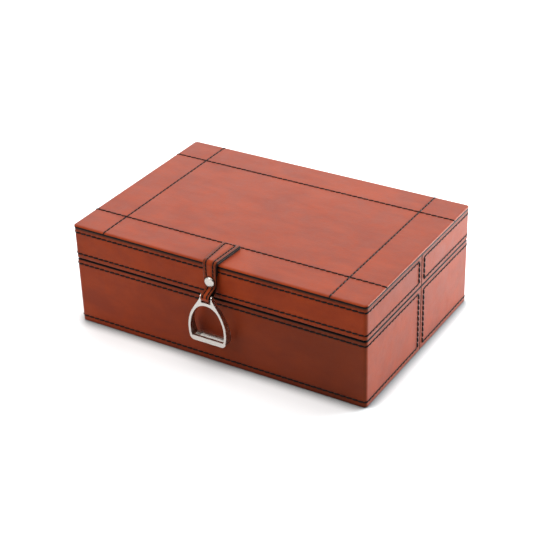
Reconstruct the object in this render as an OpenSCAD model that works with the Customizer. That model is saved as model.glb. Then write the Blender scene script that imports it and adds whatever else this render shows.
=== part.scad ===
// Leather stationery box: a hinged lid on a deeper base, with a riveted pull strap and a stirrup pull.
// X is the width, the front is at -Y, and Z is up. The origin is the centre of the underside.

/* [Box] */
// Width over the top leather
box_w = 304; // [240:1:380]
// Depth over the top leather
box_d = 205; // [160:1:260]
// Height of the closed box
box_h = 102.5; // [80:0.5:140]
// Height of the base up to its rim
base_h = 67.2; // [45:0.1:72]
// Gap between the base rim and the lid rim
lid_gap = 0.6; // [0.4:0.1:1.5]
// How far the top leather stands out over the walls
top_overhang = 0.4; // [0.2:0.1:1]
// Radius of the upright corners of the leather
corner_r = 3.4; // [1.5:0.1:4]

/* [Boards and leather] */
// Thickness of the wooden boards
board_t = 6; // [5:0.5:9]
// Thickness of the leather wraps on the walls
wrap_t = 2; // [1.4:0.1:3]
// Thickness of the top leather
top_leather_t = 1.4; // [1:0.1:2.5]
// Thickness of the underlay below the top leather
underlay_t = 1.1; // [0.8:0.1:2]
// Thickness of the rim bands and of the hinge leaves let into them
rim_t = 1.2; // [1:0.1:1.6]
// Thickness of the lining panels
lining_t = 1; // [0.6:0.1:2]
// Thickness of the underside cover
cover_t = 1.2; // [0.8:0.1:2]
// Height of the wraps' lower edge above the table
wrap_lift = 0.3; // [0.1:0.1:0.6]
// Place of the end seams behind the middle of the box
seam_y = 2; // [-10:0.5:10]
// Gap of the end seams
seam_gap = 0.4; // [0.2:0.1:1]

/* [Stitching] */
// Width of the thread
thread_w = 1; // [0.6:0.1:1.4]
// How far the thread stands out of the leather
thread_out = 0.2; // [0.1:0.05:0.4]
// How deep the thread lies in the leather
thread_in = 0.4; // [0.2:0.05:0.6]
// Clearance between a thread and its groove
groove_gap = 0.1; // [0.05:0.05:0.2]
// Distance of the stitching from the edges of the wraps
stitch_inset = 4.8; // [3:0.1:8]
// Height of the base's lower stitching above the table
foot_stitch_h = 5.9; // [3:0.1:10]
// Distance of the lid's lower stitching from the lid rim
lid_stitch_inset = 5.2; // [3:0.1:8]
// Distance of the top's stitching from the left and right edges
frame_inset_side = 35.2; // [20:0.1:60]
// Distance of the top's stitching from the front edge
frame_inset_front = 36.2; // [36:0.1:60]
// Distance of the top's stitching from the back edge
frame_inset_back = 34.6; // [20:0.1:60]

/* [Strap] */
// Thickness of each of the strap's two layers
strap_t = 1.8; // [1.4:0.1:2.2]
// How far the strap's end lies behind the front edge of the top
strap_reach = 33.5; // [25:0.5:34]
// Width of the strap at its end on the top
strap_w_end = 18; // [14:0.1:22]
// Width of the strap at the front edge of the lid
strap_w_bend = 14.2; // [12:0.1:17]
// Width of the strap at the rivet
strap_w_rivet = 12.8; // [11:0.1:14]
// Width of the strap in its loop
strap_w_loop = 9.2; // [8:0.1:10]
// Outer radius of the strap's bend over the edge
strap_bend_r = 3.9; // [3.6:0.1:4.5]
// Distance of the strap's stitching from its edges
strap_stitch_inset = 3; // [2:0.1:3.4]
// Height of the rivet's centre below the top of the box
rivet_drop = 16.5; // [16:0.1:18]
// Radius of the rivet cap
rivet_r = 4.9; // [4:0.1:5]
// Height of the rivet cap's dome
rivet_dome = 1.8; // [1:0.1:2.2]
// Radius of the rivet post
post_r = 1.5; // [1:0.1:2]
// Radius of the rivet washer
washer_r = 4; // [3:0.1:5]

/* [Stirrup] */
// Radius of the eye bar that the strap goes round
bar_r = 1.9; // [1.5:0.05:2]
// Clearance between the eye bar and the strap's loop
bar_gap = 0.15; // [0.1:0.05:0.3]
// Distance of the eye bar's axis in front of the top leather's edge
bar_out = 9.8; // [9.4:0.1:11]
// Height of the eye bar's axis below the top of the box
bar_drop = 29; // [28.5:0.1:30]
// Height of the stirrup from its underside to the eye bar's axis
stirrup_h = 46.5; // [45:0.1:50]
// Width of the stirrup at its widest
stirrup_w = 39.4; // [36:0.1:44]
// Height of the widest place above the underside of the stirrup
waist_h = 13; // [10:0.5:16]
// Radius of the branches' outer curve
branch_r = 38; // [36:0.1:42]
// Lean of the branches' outer curve where it meets the straight shoulders
branch_lean = 34.5; // [33:0.5:36]
// Width of the branches at the widest place
branch_w = 2.1; // [1.8:0.1:3]
// Height and width of the sloping corners at the foot
foot_corner = 4.3; // [3:0.1:5]
// Height of the tread bars
tread_h = 4.6; // [3.5:0.1:5.5]
// Depth of the stirrup at the tread
tread_d = 9.2; // [8.4:0.1:9.6]
// Depth of each of the two tread bars
tread_bar_d = 2.4; // [2:0.1:2.8]
// Thickness of the metal between the eye and the window
neck_t = 2.7; // [2:0.1:3.5]
// Width of the metal on each side of the eye
ear_t = 1.05; // [0.9:0.05:1.5]
// Clearance between the strap and each side of the eye
eye_gap = 0.3; // [0.2:0.05:0.5]
// Clearance under the strap's loop in the eye
eye_drop_gap = 1.65; // [0.8:0.05:1.8]

/* [Hinges] */
// Distance of the middle of each hinge from the end of the box
hinge_inset = 57; // [35:1:80]
// Length of each hinge
hinge_len = 38; // [30:1:50]
// Outer radius of the hinge knuckles
knuckle_r = 2.5; // [2.2:0.1:3]
// Gap between the knuckles and the back leather
knuckle_gap = 0.3; // [0.25:0.05:0.6]
// Radius of the hinge pins
pin_r = 1.2; // [1:0.05:1.4]
// Running clearance of the pins in the knuckles
pin_gap = 0.05; // [0.02:0.01:0.08]
// Depth of the hinge leaves across the wall
leaf_d = 7.5; // [7:0.1:8]
// Distance between the hinge screws
screw_pitch = 13; // [10:0.5:14]
// Radius of the hinge screws
screw_r = 1.1; // [0.9:0.05:1.3]
// Length of the hinge screws below the leaf
screw_len = 10; // [6:0.5:14]

/* [Hidden] */
$fn = 64;
slack = 1;

// Heights
lid_z = base_h + lid_gap;
skin_z = box_h - top_leather_t;
underlay_z = skin_z - underlay_t;
lid_board_z = underlay_z - board_t;
base_wall_top = base_h - rim_t;
lid_wall_low = lid_z + rim_t;
floor_z = cover_t + board_t;
lined_floor_z = floor_z + lining_t;
lined_top_z = lid_board_z - lining_t;

// Plan of the walls, from the outside in
wall_x = box_w / 2 - top_overhang;
wall_y = box_d / 2 - top_overhang;
board_x = wall_x - wrap_t;
board_y = wall_y - wrap_t;
room_x = board_x - board_t;
room_y = board_y - board_t;
lined_x = room_x - lining_t;
lined_y = room_y - lining_t;

// Stitch lines
groove_w = thread_w + 2 * groove_gap;
base_stitch_low = foot_stitch_h;
base_stitch_high = base_h - stitch_inset;
lid_stitch_low = lid_z + lid_stitch_inset;
lid_stitch_high = underlay_z - stitch_inset;
column_off = seam_gap / 2 + stitch_inset;

// Strap, measured from the front edge of the top leather
edge_y = -box_d / 2;
lining_gap = 0.1;
face_y = -lining_gap - 2 * strap_t;
strap_top_z = box_h + 2 * strap_t;
strap_bend_y = face_y + strap_bend_r;
strap_bend_z = strap_top_z - strap_bend_r;
arc_step = 9;
thread_end = 200;
bar_y = -bar_out;
bar_z = box_h - bar_drop;
loop_r = bar_r + bar_gap + strap_t;
loop_lean = 20;
out_bend_r = 1.5;
out_bend_y = face_y - out_bend_r;
out_bend_z = bar_z
    + (loop_r + out_bend_r + sin(loop_lean) * (out_bend_y - bar_y)) / cos(loop_lean);
return_lean = 48;
return_bend_r = 1;
return_y = 0;
return_bend_y = return_y - strap_t - return_bend_r;
return_bend_z = bar_z
    + (sin(return_lean) * (return_bend_y - bar_y) - (loop_r - return_bend_r - strap_t)) / cos(return_lean);
rivet_z = box_h - rivet_drop;
rivet_margin = 0.6;
narrow_rise = 1.05;
narrow_z = bar_z + loop_r + narrow_rise;
wide_z = rivet_z - rivet_r / 2;
return_end_z = rivet_z + rivet_r + rivet_margin;
lining_end_z = return_end_z + rivet_margin;
post_gap = 0.1;
washer_t = 1;
washer_seat = 1.2;
strap_thread_out = 0.35;
strap_thread_seat = 0.02;
strap_lap = 0.1;

// Stirrup, from its underside up
tread_z = bar_z - stirrup_h;
waist_z = tread_z + waist_h;
flare_r = 138;
ear_cover = 0.2;
eye_half_d = bar_r + ear_cover;
slot_low = bar_z - loop_r - eye_drop_gap;
slot_half_w = strap_w_loop / 2 + eye_gap;
eye_half_w = slot_half_w + ear_t;
window_top = slot_low - neck_t;
front_lean = 0.5;
stirrup_front = bar_y - eye_half_d - front_lean;
stirrup_back = stirrup_front + tread_d;
shoulder_turn = 2;
shoulder_lap = 1.3;
window_side_r = branch_r - branch_w - 2;
tread_slot_x = stirrup_w / 2 - 5.1;

// Hinges
hinge_x = box_w / 2 - hinge_inset;
axis_y = wall_y + knuckle_gap + knuckle_r;
axis_z = base_h + lid_gap / 2;
knuckles = 5;
knuckle_space = 0.2;
knuckle_len = (hinge_len - (knuckles - 1) * knuckle_space) / knuckles;
leaf_notch_gap = 0.15;
screw_y = board_y - board_t / 2;
head_r = 2 * screw_r;
screw_hole_gap = 0.05;

// Colours
leather = [0.52, 0.23, 0.15];
black_edge = [0.1, 0.08, 0.07];
suede = [0.36, 0.24, 0.17];
timber = [0.72, 0.58, 0.4];
nickel = [0.85, 0.84, 0.82];
thread_colour = [0.13, 0.09, 0.08];

// A box between two corners
module slab(x0, x1, y0, y1, z0, z1) {
    translate([x0, y0, z0])
        cube([x1 - x0, y1 - y0, z1 - z0]);
}

// A rectangle with round corners
module round_rect(half_x, half_y, r) {
    square([2 * half_x, 2 * (half_y - r)], center = true);
    square([2 * (half_x - r), 2 * half_y], center = true);
    for (sx = [-1, 1], sy = [-1, 1])
        translate([sx * (half_x - r), sy * (half_y - r)])
            circle(r);
}

// Boards: front and back run the full width, the ends stand between them
module board_long(side, z0, z1) {
    y_out = side * board_y;
    y_in = side * room_y;
    slab(-board_x, board_x, min(y_out, y_in), max(y_out, y_in), z0, z1);
}

module board_end(side, z0, z1) {
    x_out = side * board_x;
    x_in = side * room_x;
    slab(min(x_out, x_in), max(x_out, x_in), -room_y, room_y, z0, z1);
}

// The places of both hinges' screws
module at_screws() {
    for (sx = [-1, 1], i = [-1, 0, 1])
        translate([sx * hinge_x + i * screw_pitch, screw_y, 0])
            children();
}

// Screw holes going down (way = -1) or up (way = 1) from a leaf
module screw_holes(z, way) {
    at_screws()
        translate([0, 0, z])
            mirror([0, 0, way < 0 ? 1 : 0])
                translate([0, 0, -slack])
                    cylinder(r = screw_r + screw_hole_gap, h = screw_len + slack + screw_hole_gap);
}

module base_board_bottom() {
    color(timber)
        slab(-room_x, room_x, -room_y, room_y, cover_t, cover_t + board_t);
}

module base_board_front() {
    color(timber)
        board_long(-1, cover_t, base_wall_top);
}

module base_board_back() {
    color(timber)
        difference() {
            board_long(1, cover_t, base_wall_top);
            screw_holes(base_wall_top, -1);
        }
}

module base_board_end(side) {
    color(timber)
        board_end(side, cover_t, base_wall_top);
}

module lid_board_top() {
    color(timber)
        slab(-board_x, board_x, -board_y, board_y, lid_board_z, underlay_z);
}

module lid_board_front() {
    color(timber)
        difference() {
            board_long(-1, lid_wall_low, lid_board_z);
            rivet_bore(post_r + post_gap);
            translate([0, -room_y, rivet_z])
                rotate([90, 0, 0])
                    translate([0, 0, -slack])
                        cylinder(r = washer_r + post_gap, h = washer_seat + slack);
        }
}

module lid_board_back() {
    color(timber)
        difference() {
            board_long(1, lid_wall_low, lid_board_z);
            screw_holes(lid_wall_low, 1);
        }
}

module lid_board_end(side) {
    color(timber)
        board_end(side, lid_wall_low, lid_board_z);
}

// Leather ring round the walls, from out to in beyond the wall's outer face
module wall_ring(z0, z1, out, depth) {
    translate([0, 0, z0])
        linear_extrude(z1 - z0)
            difference() {
                round_rect(wall_x + out, wall_y + out, corner_r + out);
                if (depth < corner_r)
                    round_rect(wall_x - depth, wall_y - depth, corner_r - depth);
            }
}

// The part of the box in front of (side -1) or behind (side 1) a line that runs across the box
module half_space(side, y) {
    big = box_w + box_d;
    translate([-big, side < 0 ? y - big : y, -big])
        cube([2 * big, big, 2 * big]);
}

// One U-shaped wrap, with the groove for its stitching
module wrap(side, z0, z1, stitch_low, stitch_high) {
    difference() {
        translate([0, 0, z0])
            linear_extrude(z1 - z0)
                difference() {
                    round_rect(wall_x, wall_y, corner_r);
                    square([2 * board_x, 2 * board_y], center = true);
                }
        half_space(-side, seam_y + side * seam_gap / 2);
        stitch_loop(side, stitch_low, stitch_high, groove_w, slack, thread_in + groove_gap);
    }
}

// Stitching round one wrap: two lines round the corners, closed by a column at each end seam
module stitch_loop(side, low, high, w, out, depth) {
    column_y = seam_y + side * column_off;
    intersection() {
        union() {
            wall_ring(low - w / 2, low + w / 2, out, depth);
            wall_ring(high - w / 2, high + w / 2, out, depth);
        }
        half_space(side, column_y - side * w / 2);
    }
    for (sx = [-1, 1]) {
        x_out = sx * (wall_x + out);
        x_in = sx * (wall_x - depth);
        slab(min(x_out, x_in), max(x_out, x_in), column_y - w / 2, column_y + w / 2, low - w / 2, high + w / 2);
    }
}

module base_leather(side) {
    color(leather)
        wrap(side, wrap_lift, base_wall_top, base_stitch_low, base_stitch_high);
}

module lid_leather(side) {
    color(leather)
        difference() {
            wrap(side, lid_wall_low, underlay_z, lid_stitch_low, lid_stitch_high);
            rivet_bore(post_r + post_gap);
        }
}

module base_thread(side) {
    color(thread_colour)
        stitch_loop(side, base_stitch_low, base_stitch_high, thread_w, thread_out, thread_in);
}

module lid_thread(side) {
    color(thread_colour)
        stitch_loop(side, lid_stitch_low, lid_stitch_high, thread_w, thread_out, thread_in);
}

// Flat leather frame on the edge of the walls, with notches for the hinge leaves
module rim_band(z0) {
    color(black_edge)
        difference() {
            translate([0, 0, z0])
                linear_extrude(rim_t)
                    difference() {
                        round_rect(wall_x, wall_y, corner_r);
                        square([2 * lined_x, 2 * lined_y], center = true);
                    }
            for (sx = [-1, 1])
                slab(
                    sx * hinge_x - hinge_len / 2 - leaf_notch_gap,
                    sx * hinge_x + hinge_len / 2 + leaf_notch_gap,
                    wall_y - leaf_d - leaf_notch_gap,
                    wall_y + slack,
                    z0 - slack,
                    z0 + rim_t + slack
                );
        }
}

// The four stitched lines of the top, run from edge to edge and turned down over the edges
module top_lines(w, out, depth) {
    x_line = box_w / 2 - frame_inset_side;
    end_x = box_w / 2;
    end_y = box_d / 2;
    for (y = [-end_y + frame_inset_front, end_y - frame_inset_back]) {
        slab(-end_x - out, end_x + out, y - w / 2, y + w / 2, box_h - depth, box_h + out);
        for (sx = [-1, 1])
            slab(
                min(sx * (end_x - depth), sx * (end_x + out)),
                max(sx * (end_x - depth), sx * (end_x + out)),
                y - w / 2,
                y + w / 2,
                skin_z,
                box_h
            );
    }
    for (x = [-x_line, x_line]) {
        slab(x - w / 2, x + w / 2, -end_y - out, end_y + out, box_h - depth, box_h + out);
        for (sy = [-1, 1])
            slab(
                x - w / 2,
                x + w / 2,
                min(sy * (end_y - depth), sy * (end_y + out)),
                max(sy * (end_y - depth), sy * (end_y + out)),
                skin_z,
                box_h
            );
    }
}

module lid_top_leather() {
    color(leather)
        difference() {
            translate([0, 0, skin_z])
                linear_extrude(top_leather_t)
                    round_rect(box_w / 2, box_d / 2, corner_r + top_overhang);
            top_lines(groove_w, slack, thread_in + groove_gap);
        }
}

module lid_top_underlay() {
    color(black_edge)
        translate([0, 0, underlay_z])
            linear_extrude(underlay_t)
                round_rect(box_w / 2, box_d / 2, corner_r + top_overhang);
}

module lid_thread_top() {
    color(thread_colour)
        top_lines(thread_w, thread_out, thread_in);
}

module underside_cover() {
    color(suede)
        slab(-board_x, board_x, -board_y, board_y, 0, cover_t);
}

// Lining panels: front and back run the full width of the room, the ends stand between them
module lining_long(side, z0, z1) {
    y_out = side * room_y;
    y_in = side * lined_y;
    color(suede)
        slab(-room_x, room_x, min(y_out, y_in), max(y_out, y_in), z0, z1);
}

module lining_end(side, z0, z1) {
    x_out = side * room_x;
    x_in = side * lined_x;
    color(suede)
        slab(min(x_out, x_in), max(x_out, x_in), -lined_y, lined_y, z0, z1);
}

module base_lining_floor() {
    color(suede)
        slab(-room_x, room_x, -room_y, room_y, floor_z, lined_floor_z);
}

module lid_lining_top() {
    color(suede)
        slab(-room_x, room_x, -room_y, room_y, lined_top_z, lid_board_z);
}

// Knuckles of one hinge: the base leaf has the even ones, the lid leaf the odd ones
module at_knuckles(first) {
    for (i = [first : 2 : knuckles - 1])
        translate([-hinge_len / 2 + i * (knuckle_len + knuckle_space), 0, 0])
            children();
}

module hinge_leaf(sx, z0, first) {
    color(nickel)
        difference() {
            translate([sx * hinge_x, 0, 0])
                difference() {
                    union() {
                        slab(-hinge_len / 2, hinge_len / 2, wall_y - leaf_d, wall_y, z0, z0 + rim_t);
                        at_knuckles(first) {
                            slab(0, knuckle_len, wall_y - slack, axis_y, z0, z0 + rim_t);
                            translate([0, axis_y, axis_z])
                                rotate([0, 90, 0])
                                    cylinder(r = knuckle_r, h = knuckle_len);
                        }
                    }
                    translate([-hinge_len / 2 - slack, axis_y, axis_z])
                        rotate([0, 90, 0])
                            cylinder(r = pin_r + pin_gap, h = hinge_len + 2 * slack);
                }
            if (first == 0)
                screws(base_wall_top, -1, screw_hole_gap);
            else
                screws(lid_wall_low, 1, screw_hole_gap);
        }
}

module hinge_pin(sx) {
    color(nickel)
        translate([sx * hinge_x - hinge_len / 2, axis_y, axis_z])
            rotate([0, 90, 0])
                cylinder(r = pin_r, h = hinge_len);
}

// Countersunk screws of both hinges, in a leaf whose inner face lies at z
module screws(z, way, gap) {
    at_screws()
        translate([0, 0, z])
            mirror([0, 0, way > 0 ? 1 : 0]) {
                translate([0, 0, -screw_len])
                    cylinder(r = screw_r + gap, h = screw_len + rim_t);
                cone_h = head_r - screw_r;
                translate([0, 0, rim_t - cone_h])
                    cylinder(r1 = screw_r + gap, r2 = head_r + gap, h = cone_h);
            }
}

module hinge_screws(z, way) {
    slot_w = 0.6;
    slot_depth = 0.5;
    color(nickel)
        difference() {
            screws(z, way, 0);
            at_screws()
                translate([0, 0, z - way * rim_t])
                    cube([2 * head_r + slack, slot_w, 2 * slot_depth], center = true);
        }
}

// Points along an arc in the strap's side view
function arc_points(y, z, r, a0, a1) =
    let (steps = max(1, ceil(abs(a1 - a0) / arc_step)))
    [for (i = [0 : steps]) let (a = a0 + (a1 - a0) * i / steps) [y + r * cos(a), z + r * sin(a)]];

function reversed(points) = [for (i = [len(points) - 1 : -1 : 0]) points[i]];

// The face layer from its end on the top to the loop, at a depth under its outer surface
function strap_upper(depth) = concat(
    [[strap_reach, strap_top_z - depth]],
    arc_points(strap_bend_y, strap_bend_z, strap_bend_r - depth, 90, 180)
);

function strap_front(depth, loop_end) = concat(
    strap_upper(depth),
    arc_points(out_bend_y, out_bend_z, out_bend_r + depth, 0, loop_lean - 90),
    arc_points(bar_y, bar_z, loop_r - depth, 90 + loop_lean, loop_end)
);

// The whole face layer, round the eye bar and back up behind the rivet
function strap_whole(depth) = concat(
    strap_front(depth, 270 + return_lean),
    arc_points(return_bend_y, return_bend_z, return_bend_r + strap_t - depth, return_lean - 90, 0),
    [[return_y - depth, return_end_z]]
);

// Turns a side view into a solid across the strap, in front of the top leather's edge
module across(w) {
    translate([-w / 2, edge_y, 0])
        rotate([90, 0, 90])
            linear_extrude(w)
                children();
}

// Front view and plan of the strap as one solid, narrowed by a margin, and split at the bend
module strap_outline(margin) {
    half_end = strap_w_end / 2 - margin;
    half_bend = strap_w_bend / 2 - margin;
    half_rivet = strap_w_rivet / 2 - margin;
    half_loop = strap_w_loop / 2 - margin;
    deep = bar_out + loop_r + slack;
    low_z = bar_z - loop_r - slack;
    translate([0, edge_y + strap_reach + slack, 0])
        rotate([90, 0, 0])
            linear_extrude(strap_reach + deep + slack)
                polygon([
                    [-half_loop, low_z], [half_loop, low_z], [half_loop, narrow_z], [half_rivet, wide_z],
                    [half_bend, box_h + strap_lap], [-half_bend, box_h + strap_lap], [-half_rivet, wide_z],
                    [-half_loop, narrow_z]
                ]);
    translate([0, 0, box_h])
        linear_extrude(2 * strap_t + slack)
            polygon([
                [-half_bend, edge_y - deep], [half_bend, edge_y - deep], [half_bend, edge_y],
                [half_end, edge_y + strap_reach - margin], [-half_end, edge_y + strap_reach - margin],
                [-half_bend, edge_y]
            ]);
}

module rivet_bore(r) {
    translate([0, edge_y + face_y - slack, rivet_z])
        rotate([-90, 0, 0])
            cylinder(r = r, h = wrap_t + board_t + 2 * strap_t + 3 * slack);
}

module strap_face() {
    color(leather)
        difference() {
            intersection() {
                across(strap_w_end)
                    polygon(concat(strap_whole(0), reversed(strap_whole(strap_t))));
                strap_outline(0);
            }
            rivet_bore(post_r + post_gap);
        }
}

module strap_lining() {
    color(leather)
        intersection() {
            across(strap_w_end)
                polygon(concat(
                    strap_upper(strap_t),
                    [[face_y + strap_t, lining_end_z], [-lining_gap, lining_end_z], [-lining_gap, box_h]],
                    [[strap_reach, box_h]]
                ));
            strap_outline(0);
        }
}

// Two stitched lines and a row across the end, lying on the strap's outer surface
module strap_thread() {
    color(thread_colour)
        difference() {
            intersection() {
                across(strap_w_end)
                    polygon(concat(
                        strap_front(-strap_thread_out, thread_end),
                        reversed(strap_front(-strap_thread_seat, thread_end))
                    ));
                difference() {
                    strap_outline(strap_stitch_inset);
                    strap_outline(strap_stitch_inset + thread_w);
                }
            }
            translate([0, edge_y + face_y, rivet_z])
                rotate([90, 0, 0])
                    translate([0, 0, -slack])
                        cylinder(r = rivet_r + post_gap, h = rivet_dome + 2 * slack);
        }
}

module rivet_cap() {
    dome_r = (rivet_r * rivet_r + rivet_dome * rivet_dome) / (2 * rivet_dome);
    color(nickel)
        translate([0, edge_y + face_y, rivet_z])
            rotate([90, 0, 0])
                intersection() {
                    translate([0, 0, rivet_dome - dome_r])
                        sphere(dome_r);
                    cylinder(r = rivet_r + slack, h = rivet_dome + slack);
                }
}

module rivet_post() {
    color(nickel)
        translate([0, edge_y + face_y, rivet_z])
            rotate([-90, 0, 0])
                cylinder(r = post_r, h = -edge_y - face_y - room_y - (washer_seat - washer_t));
}

module rivet_washer() {
    color(nickel)
        translate([0, -room_y - washer_seat, rivet_z])
            rotate([-90, 0, 0])
                difference() {
                    cylinder(r = washer_r, h = washer_t);
                    translate([0, 0, -slack])
                        cylinder(r = post_r + pin_gap, h = washer_t + 2 * slack);
                }
}

// Front view of the stirrup: the lens between two branch arcs, its straight shoulders and its foot
module stirrup_outline() {
    half_w = stirrup_w / 2;
    branch_x = half_w - branch_r;
    lean_x = branch_x + branch_r * cos(branch_lean);
    lean_z = waist_z + branch_r * sin(branch_lean);
    shoulder_lean = branch_lean - shoulder_turn;
    eye_z = lean_z + (lean_x - eye_half_w) / tan(shoulder_lean);
    lap_x = lean_x + shoulder_lap * sin(shoulder_lean);
    lap_z = lean_z - shoulder_lap * cos(shoulder_lean);
    corner_z = tread_z + foot_corner;
    corner_x = branch_x + sqrt(branch_r * branch_r - (waist_z - corner_z) * (waist_z - corner_z));
    foot_x = corner_x - foot_corner;
    corner_end_z = tread_z + half_w - foot_x;
    lens_top = lean_z + shoulder_lap;
    intersection() {
        translate([branch_x, waist_z])
            circle(branch_r);
        translate([-branch_x, waist_z])
            circle(branch_r);
        polygon([
            [-foot_x, tread_z], [foot_x, tread_z], [half_w, corner_end_z], [half_w, lens_top],
            [-half_w, lens_top], [-half_w, corner_end_z]
        ]);
    }
    polygon([
        [-lap_x, lap_z], [lap_x, lap_z], [eye_half_w, eye_z], [eye_half_w, bar_z + eye_half_d],
        [-eye_half_w, bar_z + eye_half_d], [-eye_half_w, eye_z]
    ]);
}

// Front view of the window: a round arch that runs into the two branch curves
module stirrup_window() {
    half_w = stirrup_w / 2 - branch_w;
    side_x = half_w - window_side_r;
    rise = window_top - waist_z;
    arch_r = (window_side_r * window_side_r - side_x * side_x - rise * rise) / (2 * (window_side_r - rise));
    arch_z = window_top - arch_r;
    meet = atan2(arch_z - waist_z, -side_x);
    meet_z = arch_z + arch_r * sin(meet);
    foot_z = tread_z + tread_h;
    translate([0, arch_z])
        intersection() {
            circle(arch_r);
            translate([-arch_r, meet_z - arch_z])
                square([2 * arch_r, arch_r]);
        }
    intersection() {
        translate([side_x, waist_z])
            circle(window_side_r);
        translate([-side_x, waist_z])
            circle(window_side_r);
        translate([-half_w, foot_z])
            square([2 * half_w, meet_z - foot_z]);
    }
}

// Side view of the stirrup: flat front, and a back that flares towards the tread
module stirrup_side() {
    back_y = bar_y + eye_half_d;
    flare_z = slot_low;
    difference() {
        union() {
            translate([bar_y, bar_z])
                circle(eye_half_d);
            polygon([
                [bar_y - eye_half_d, bar_z], [bar_y - eye_half_d, slot_low], [stirrup_front, tread_z + tread_h],
                [stirrup_front, tread_z], [stirrup_back, tread_z], [stirrup_back, flare_z],
                [back_y, flare_z], [back_y, bar_z]
            ]);
        }
        translate([back_y + flare_r, flare_z])
            circle(flare_r, $fn = 256);
    }
}

module stirrup() {
    tread_slot_y0 = edge_y + stirrup_front + tread_bar_d;
    tread_slot_y1 = edge_y + stirrup_back - tread_bar_d;
    color(nickel) {
        difference() {
            intersection() {
                translate([0, edge_y, 0])
                    rotate([90, 0, 0])
                        translate([0, 0, -box_d])
                            linear_extrude(2 * box_d)
                                difference() {
                                    stirrup_outline();
                                    stirrup_window();
                                    translate([-slot_half_w, slot_low])
                                        square([2 * slot_half_w, bar_z + 2 * eye_half_d - slot_low]);
                                }
                translate([-stirrup_w / 2 - slack, edge_y, 0])
                    rotate([90, 0, 90])
                        linear_extrude(stirrup_w + 2 * slack)
                            stirrup_side();
            }
            slab(
                -tread_slot_x, tread_slot_x, tread_slot_y0, tread_slot_y1, tread_z - slack, tread_z + tread_h + slack
            );
        }
        translate([-slot_half_w - ear_t / 2, edge_y + bar_y, bar_z])
            rotate([0, 90, 0])
                cylinder(r = bar_r, h = 2 * slot_half_w + ear_t);
    }
}

base_board_bottom();
base_board_front();
base_board_back();
base_board_end(-1);  // base_board_left
base_board_end(1);  // base_board_right
base_leather(-1);  // base_leather_front
base_leather(1);  // base_leather_back
rim_band(base_wall_top);  // base_rim_band
underside_cover();
base_lining_floor();
lining_long(-1, lined_floor_z, base_wall_top);  // base_lining_front
lining_long(1, lined_floor_z, base_wall_top);  // base_lining_back
lining_end(-1, lined_floor_z, base_wall_top);  // base_lining_left
lining_end(1, lined_floor_z, base_wall_top);  // base_lining_right
base_thread(-1);  // base_thread_front
base_thread(1);  // base_thread_back
lid_board_top();
lid_board_front();
lid_board_back();
lid_board_end(-1);  // lid_board_left
lid_board_end(1);  // lid_board_right
lid_leather(-1);  // lid_leather_front
lid_leather(1);  // lid_leather_back
rim_band(lid_z);  // lid_rim_band
lid_top_leather();
lid_top_underlay();
lid_lining_top();
lining_long(-1, lid_wall_low, lined_top_z);  // lid_lining_front
lining_long(1, lid_wall_low, lined_top_z);  // lid_lining_back
lining_end(-1, lid_wall_low, lined_top_z);  // lid_lining_left
lining_end(1, lid_wall_low, lined_top_z);  // lid_lining_right
lid_thread(-1);  // lid_thread_front
lid_thread(1);  // lid_thread_back
lid_thread_top();
hinge_leaf(-1, base_wall_top, 0);  // hinge_leaf_base_left
hinge_leaf(1, base_wall_top, 0);  // hinge_leaf_base_right
hinge_leaf(-1, lid_z, 1);  // hinge_leaf_lid_left
hinge_leaf(1, lid_z, 1);  // hinge_leaf_lid_right
hinge_pin(-1);  // hinge_pin_left
hinge_pin(1);  // hinge_pin_right
hinge_screws(base_wall_top, -1);  // hinge_screws_base
hinge_screws(lid_wall_low, 1);  // hinge_screws_lid
strap_face();
strap_lining();
strap_thread();
rivet_cap();
rivet_post();
rivet_washer();
stirrup();
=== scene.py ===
import math
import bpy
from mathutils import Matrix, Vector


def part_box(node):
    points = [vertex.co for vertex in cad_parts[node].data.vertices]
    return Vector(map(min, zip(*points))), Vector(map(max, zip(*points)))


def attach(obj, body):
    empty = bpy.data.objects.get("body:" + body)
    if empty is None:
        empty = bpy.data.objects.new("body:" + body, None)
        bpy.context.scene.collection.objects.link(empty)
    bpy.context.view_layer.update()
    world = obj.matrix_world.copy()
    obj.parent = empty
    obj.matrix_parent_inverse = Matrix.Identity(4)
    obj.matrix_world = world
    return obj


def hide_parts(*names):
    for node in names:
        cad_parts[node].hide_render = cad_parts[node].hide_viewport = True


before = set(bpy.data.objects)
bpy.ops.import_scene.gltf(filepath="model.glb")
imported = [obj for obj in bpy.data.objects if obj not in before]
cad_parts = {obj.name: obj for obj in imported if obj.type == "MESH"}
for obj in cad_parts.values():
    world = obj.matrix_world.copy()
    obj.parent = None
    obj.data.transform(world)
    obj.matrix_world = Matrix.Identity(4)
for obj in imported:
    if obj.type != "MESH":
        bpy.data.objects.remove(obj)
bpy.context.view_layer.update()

from types import SimpleNamespace

import bmesh
import bpy
from bpy.props import FloatProperty, FloatVectorProperty, PointerProperty
from mathutils import Matrix, Vector

bl_info = {
    "name": "Leather stationery box",
    "version": (1, 0, 0),
    "blender": (4, 5, 0),
    "location": "3D View > Sidebar > Leather box",
    "description": "Leather panels, stitching, strap, stirrup pull, hinges, lining and stage of the box",
    "category": "Object",
}

# All working sizes below are in millimetres. MM turns them into Blender's metres.
MM = 0.001


def cad_mm(node):
    """Lowest and highest corner of a CAD node, in millimetres."""
    low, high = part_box(node)
    return low / MM, high / MM


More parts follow.
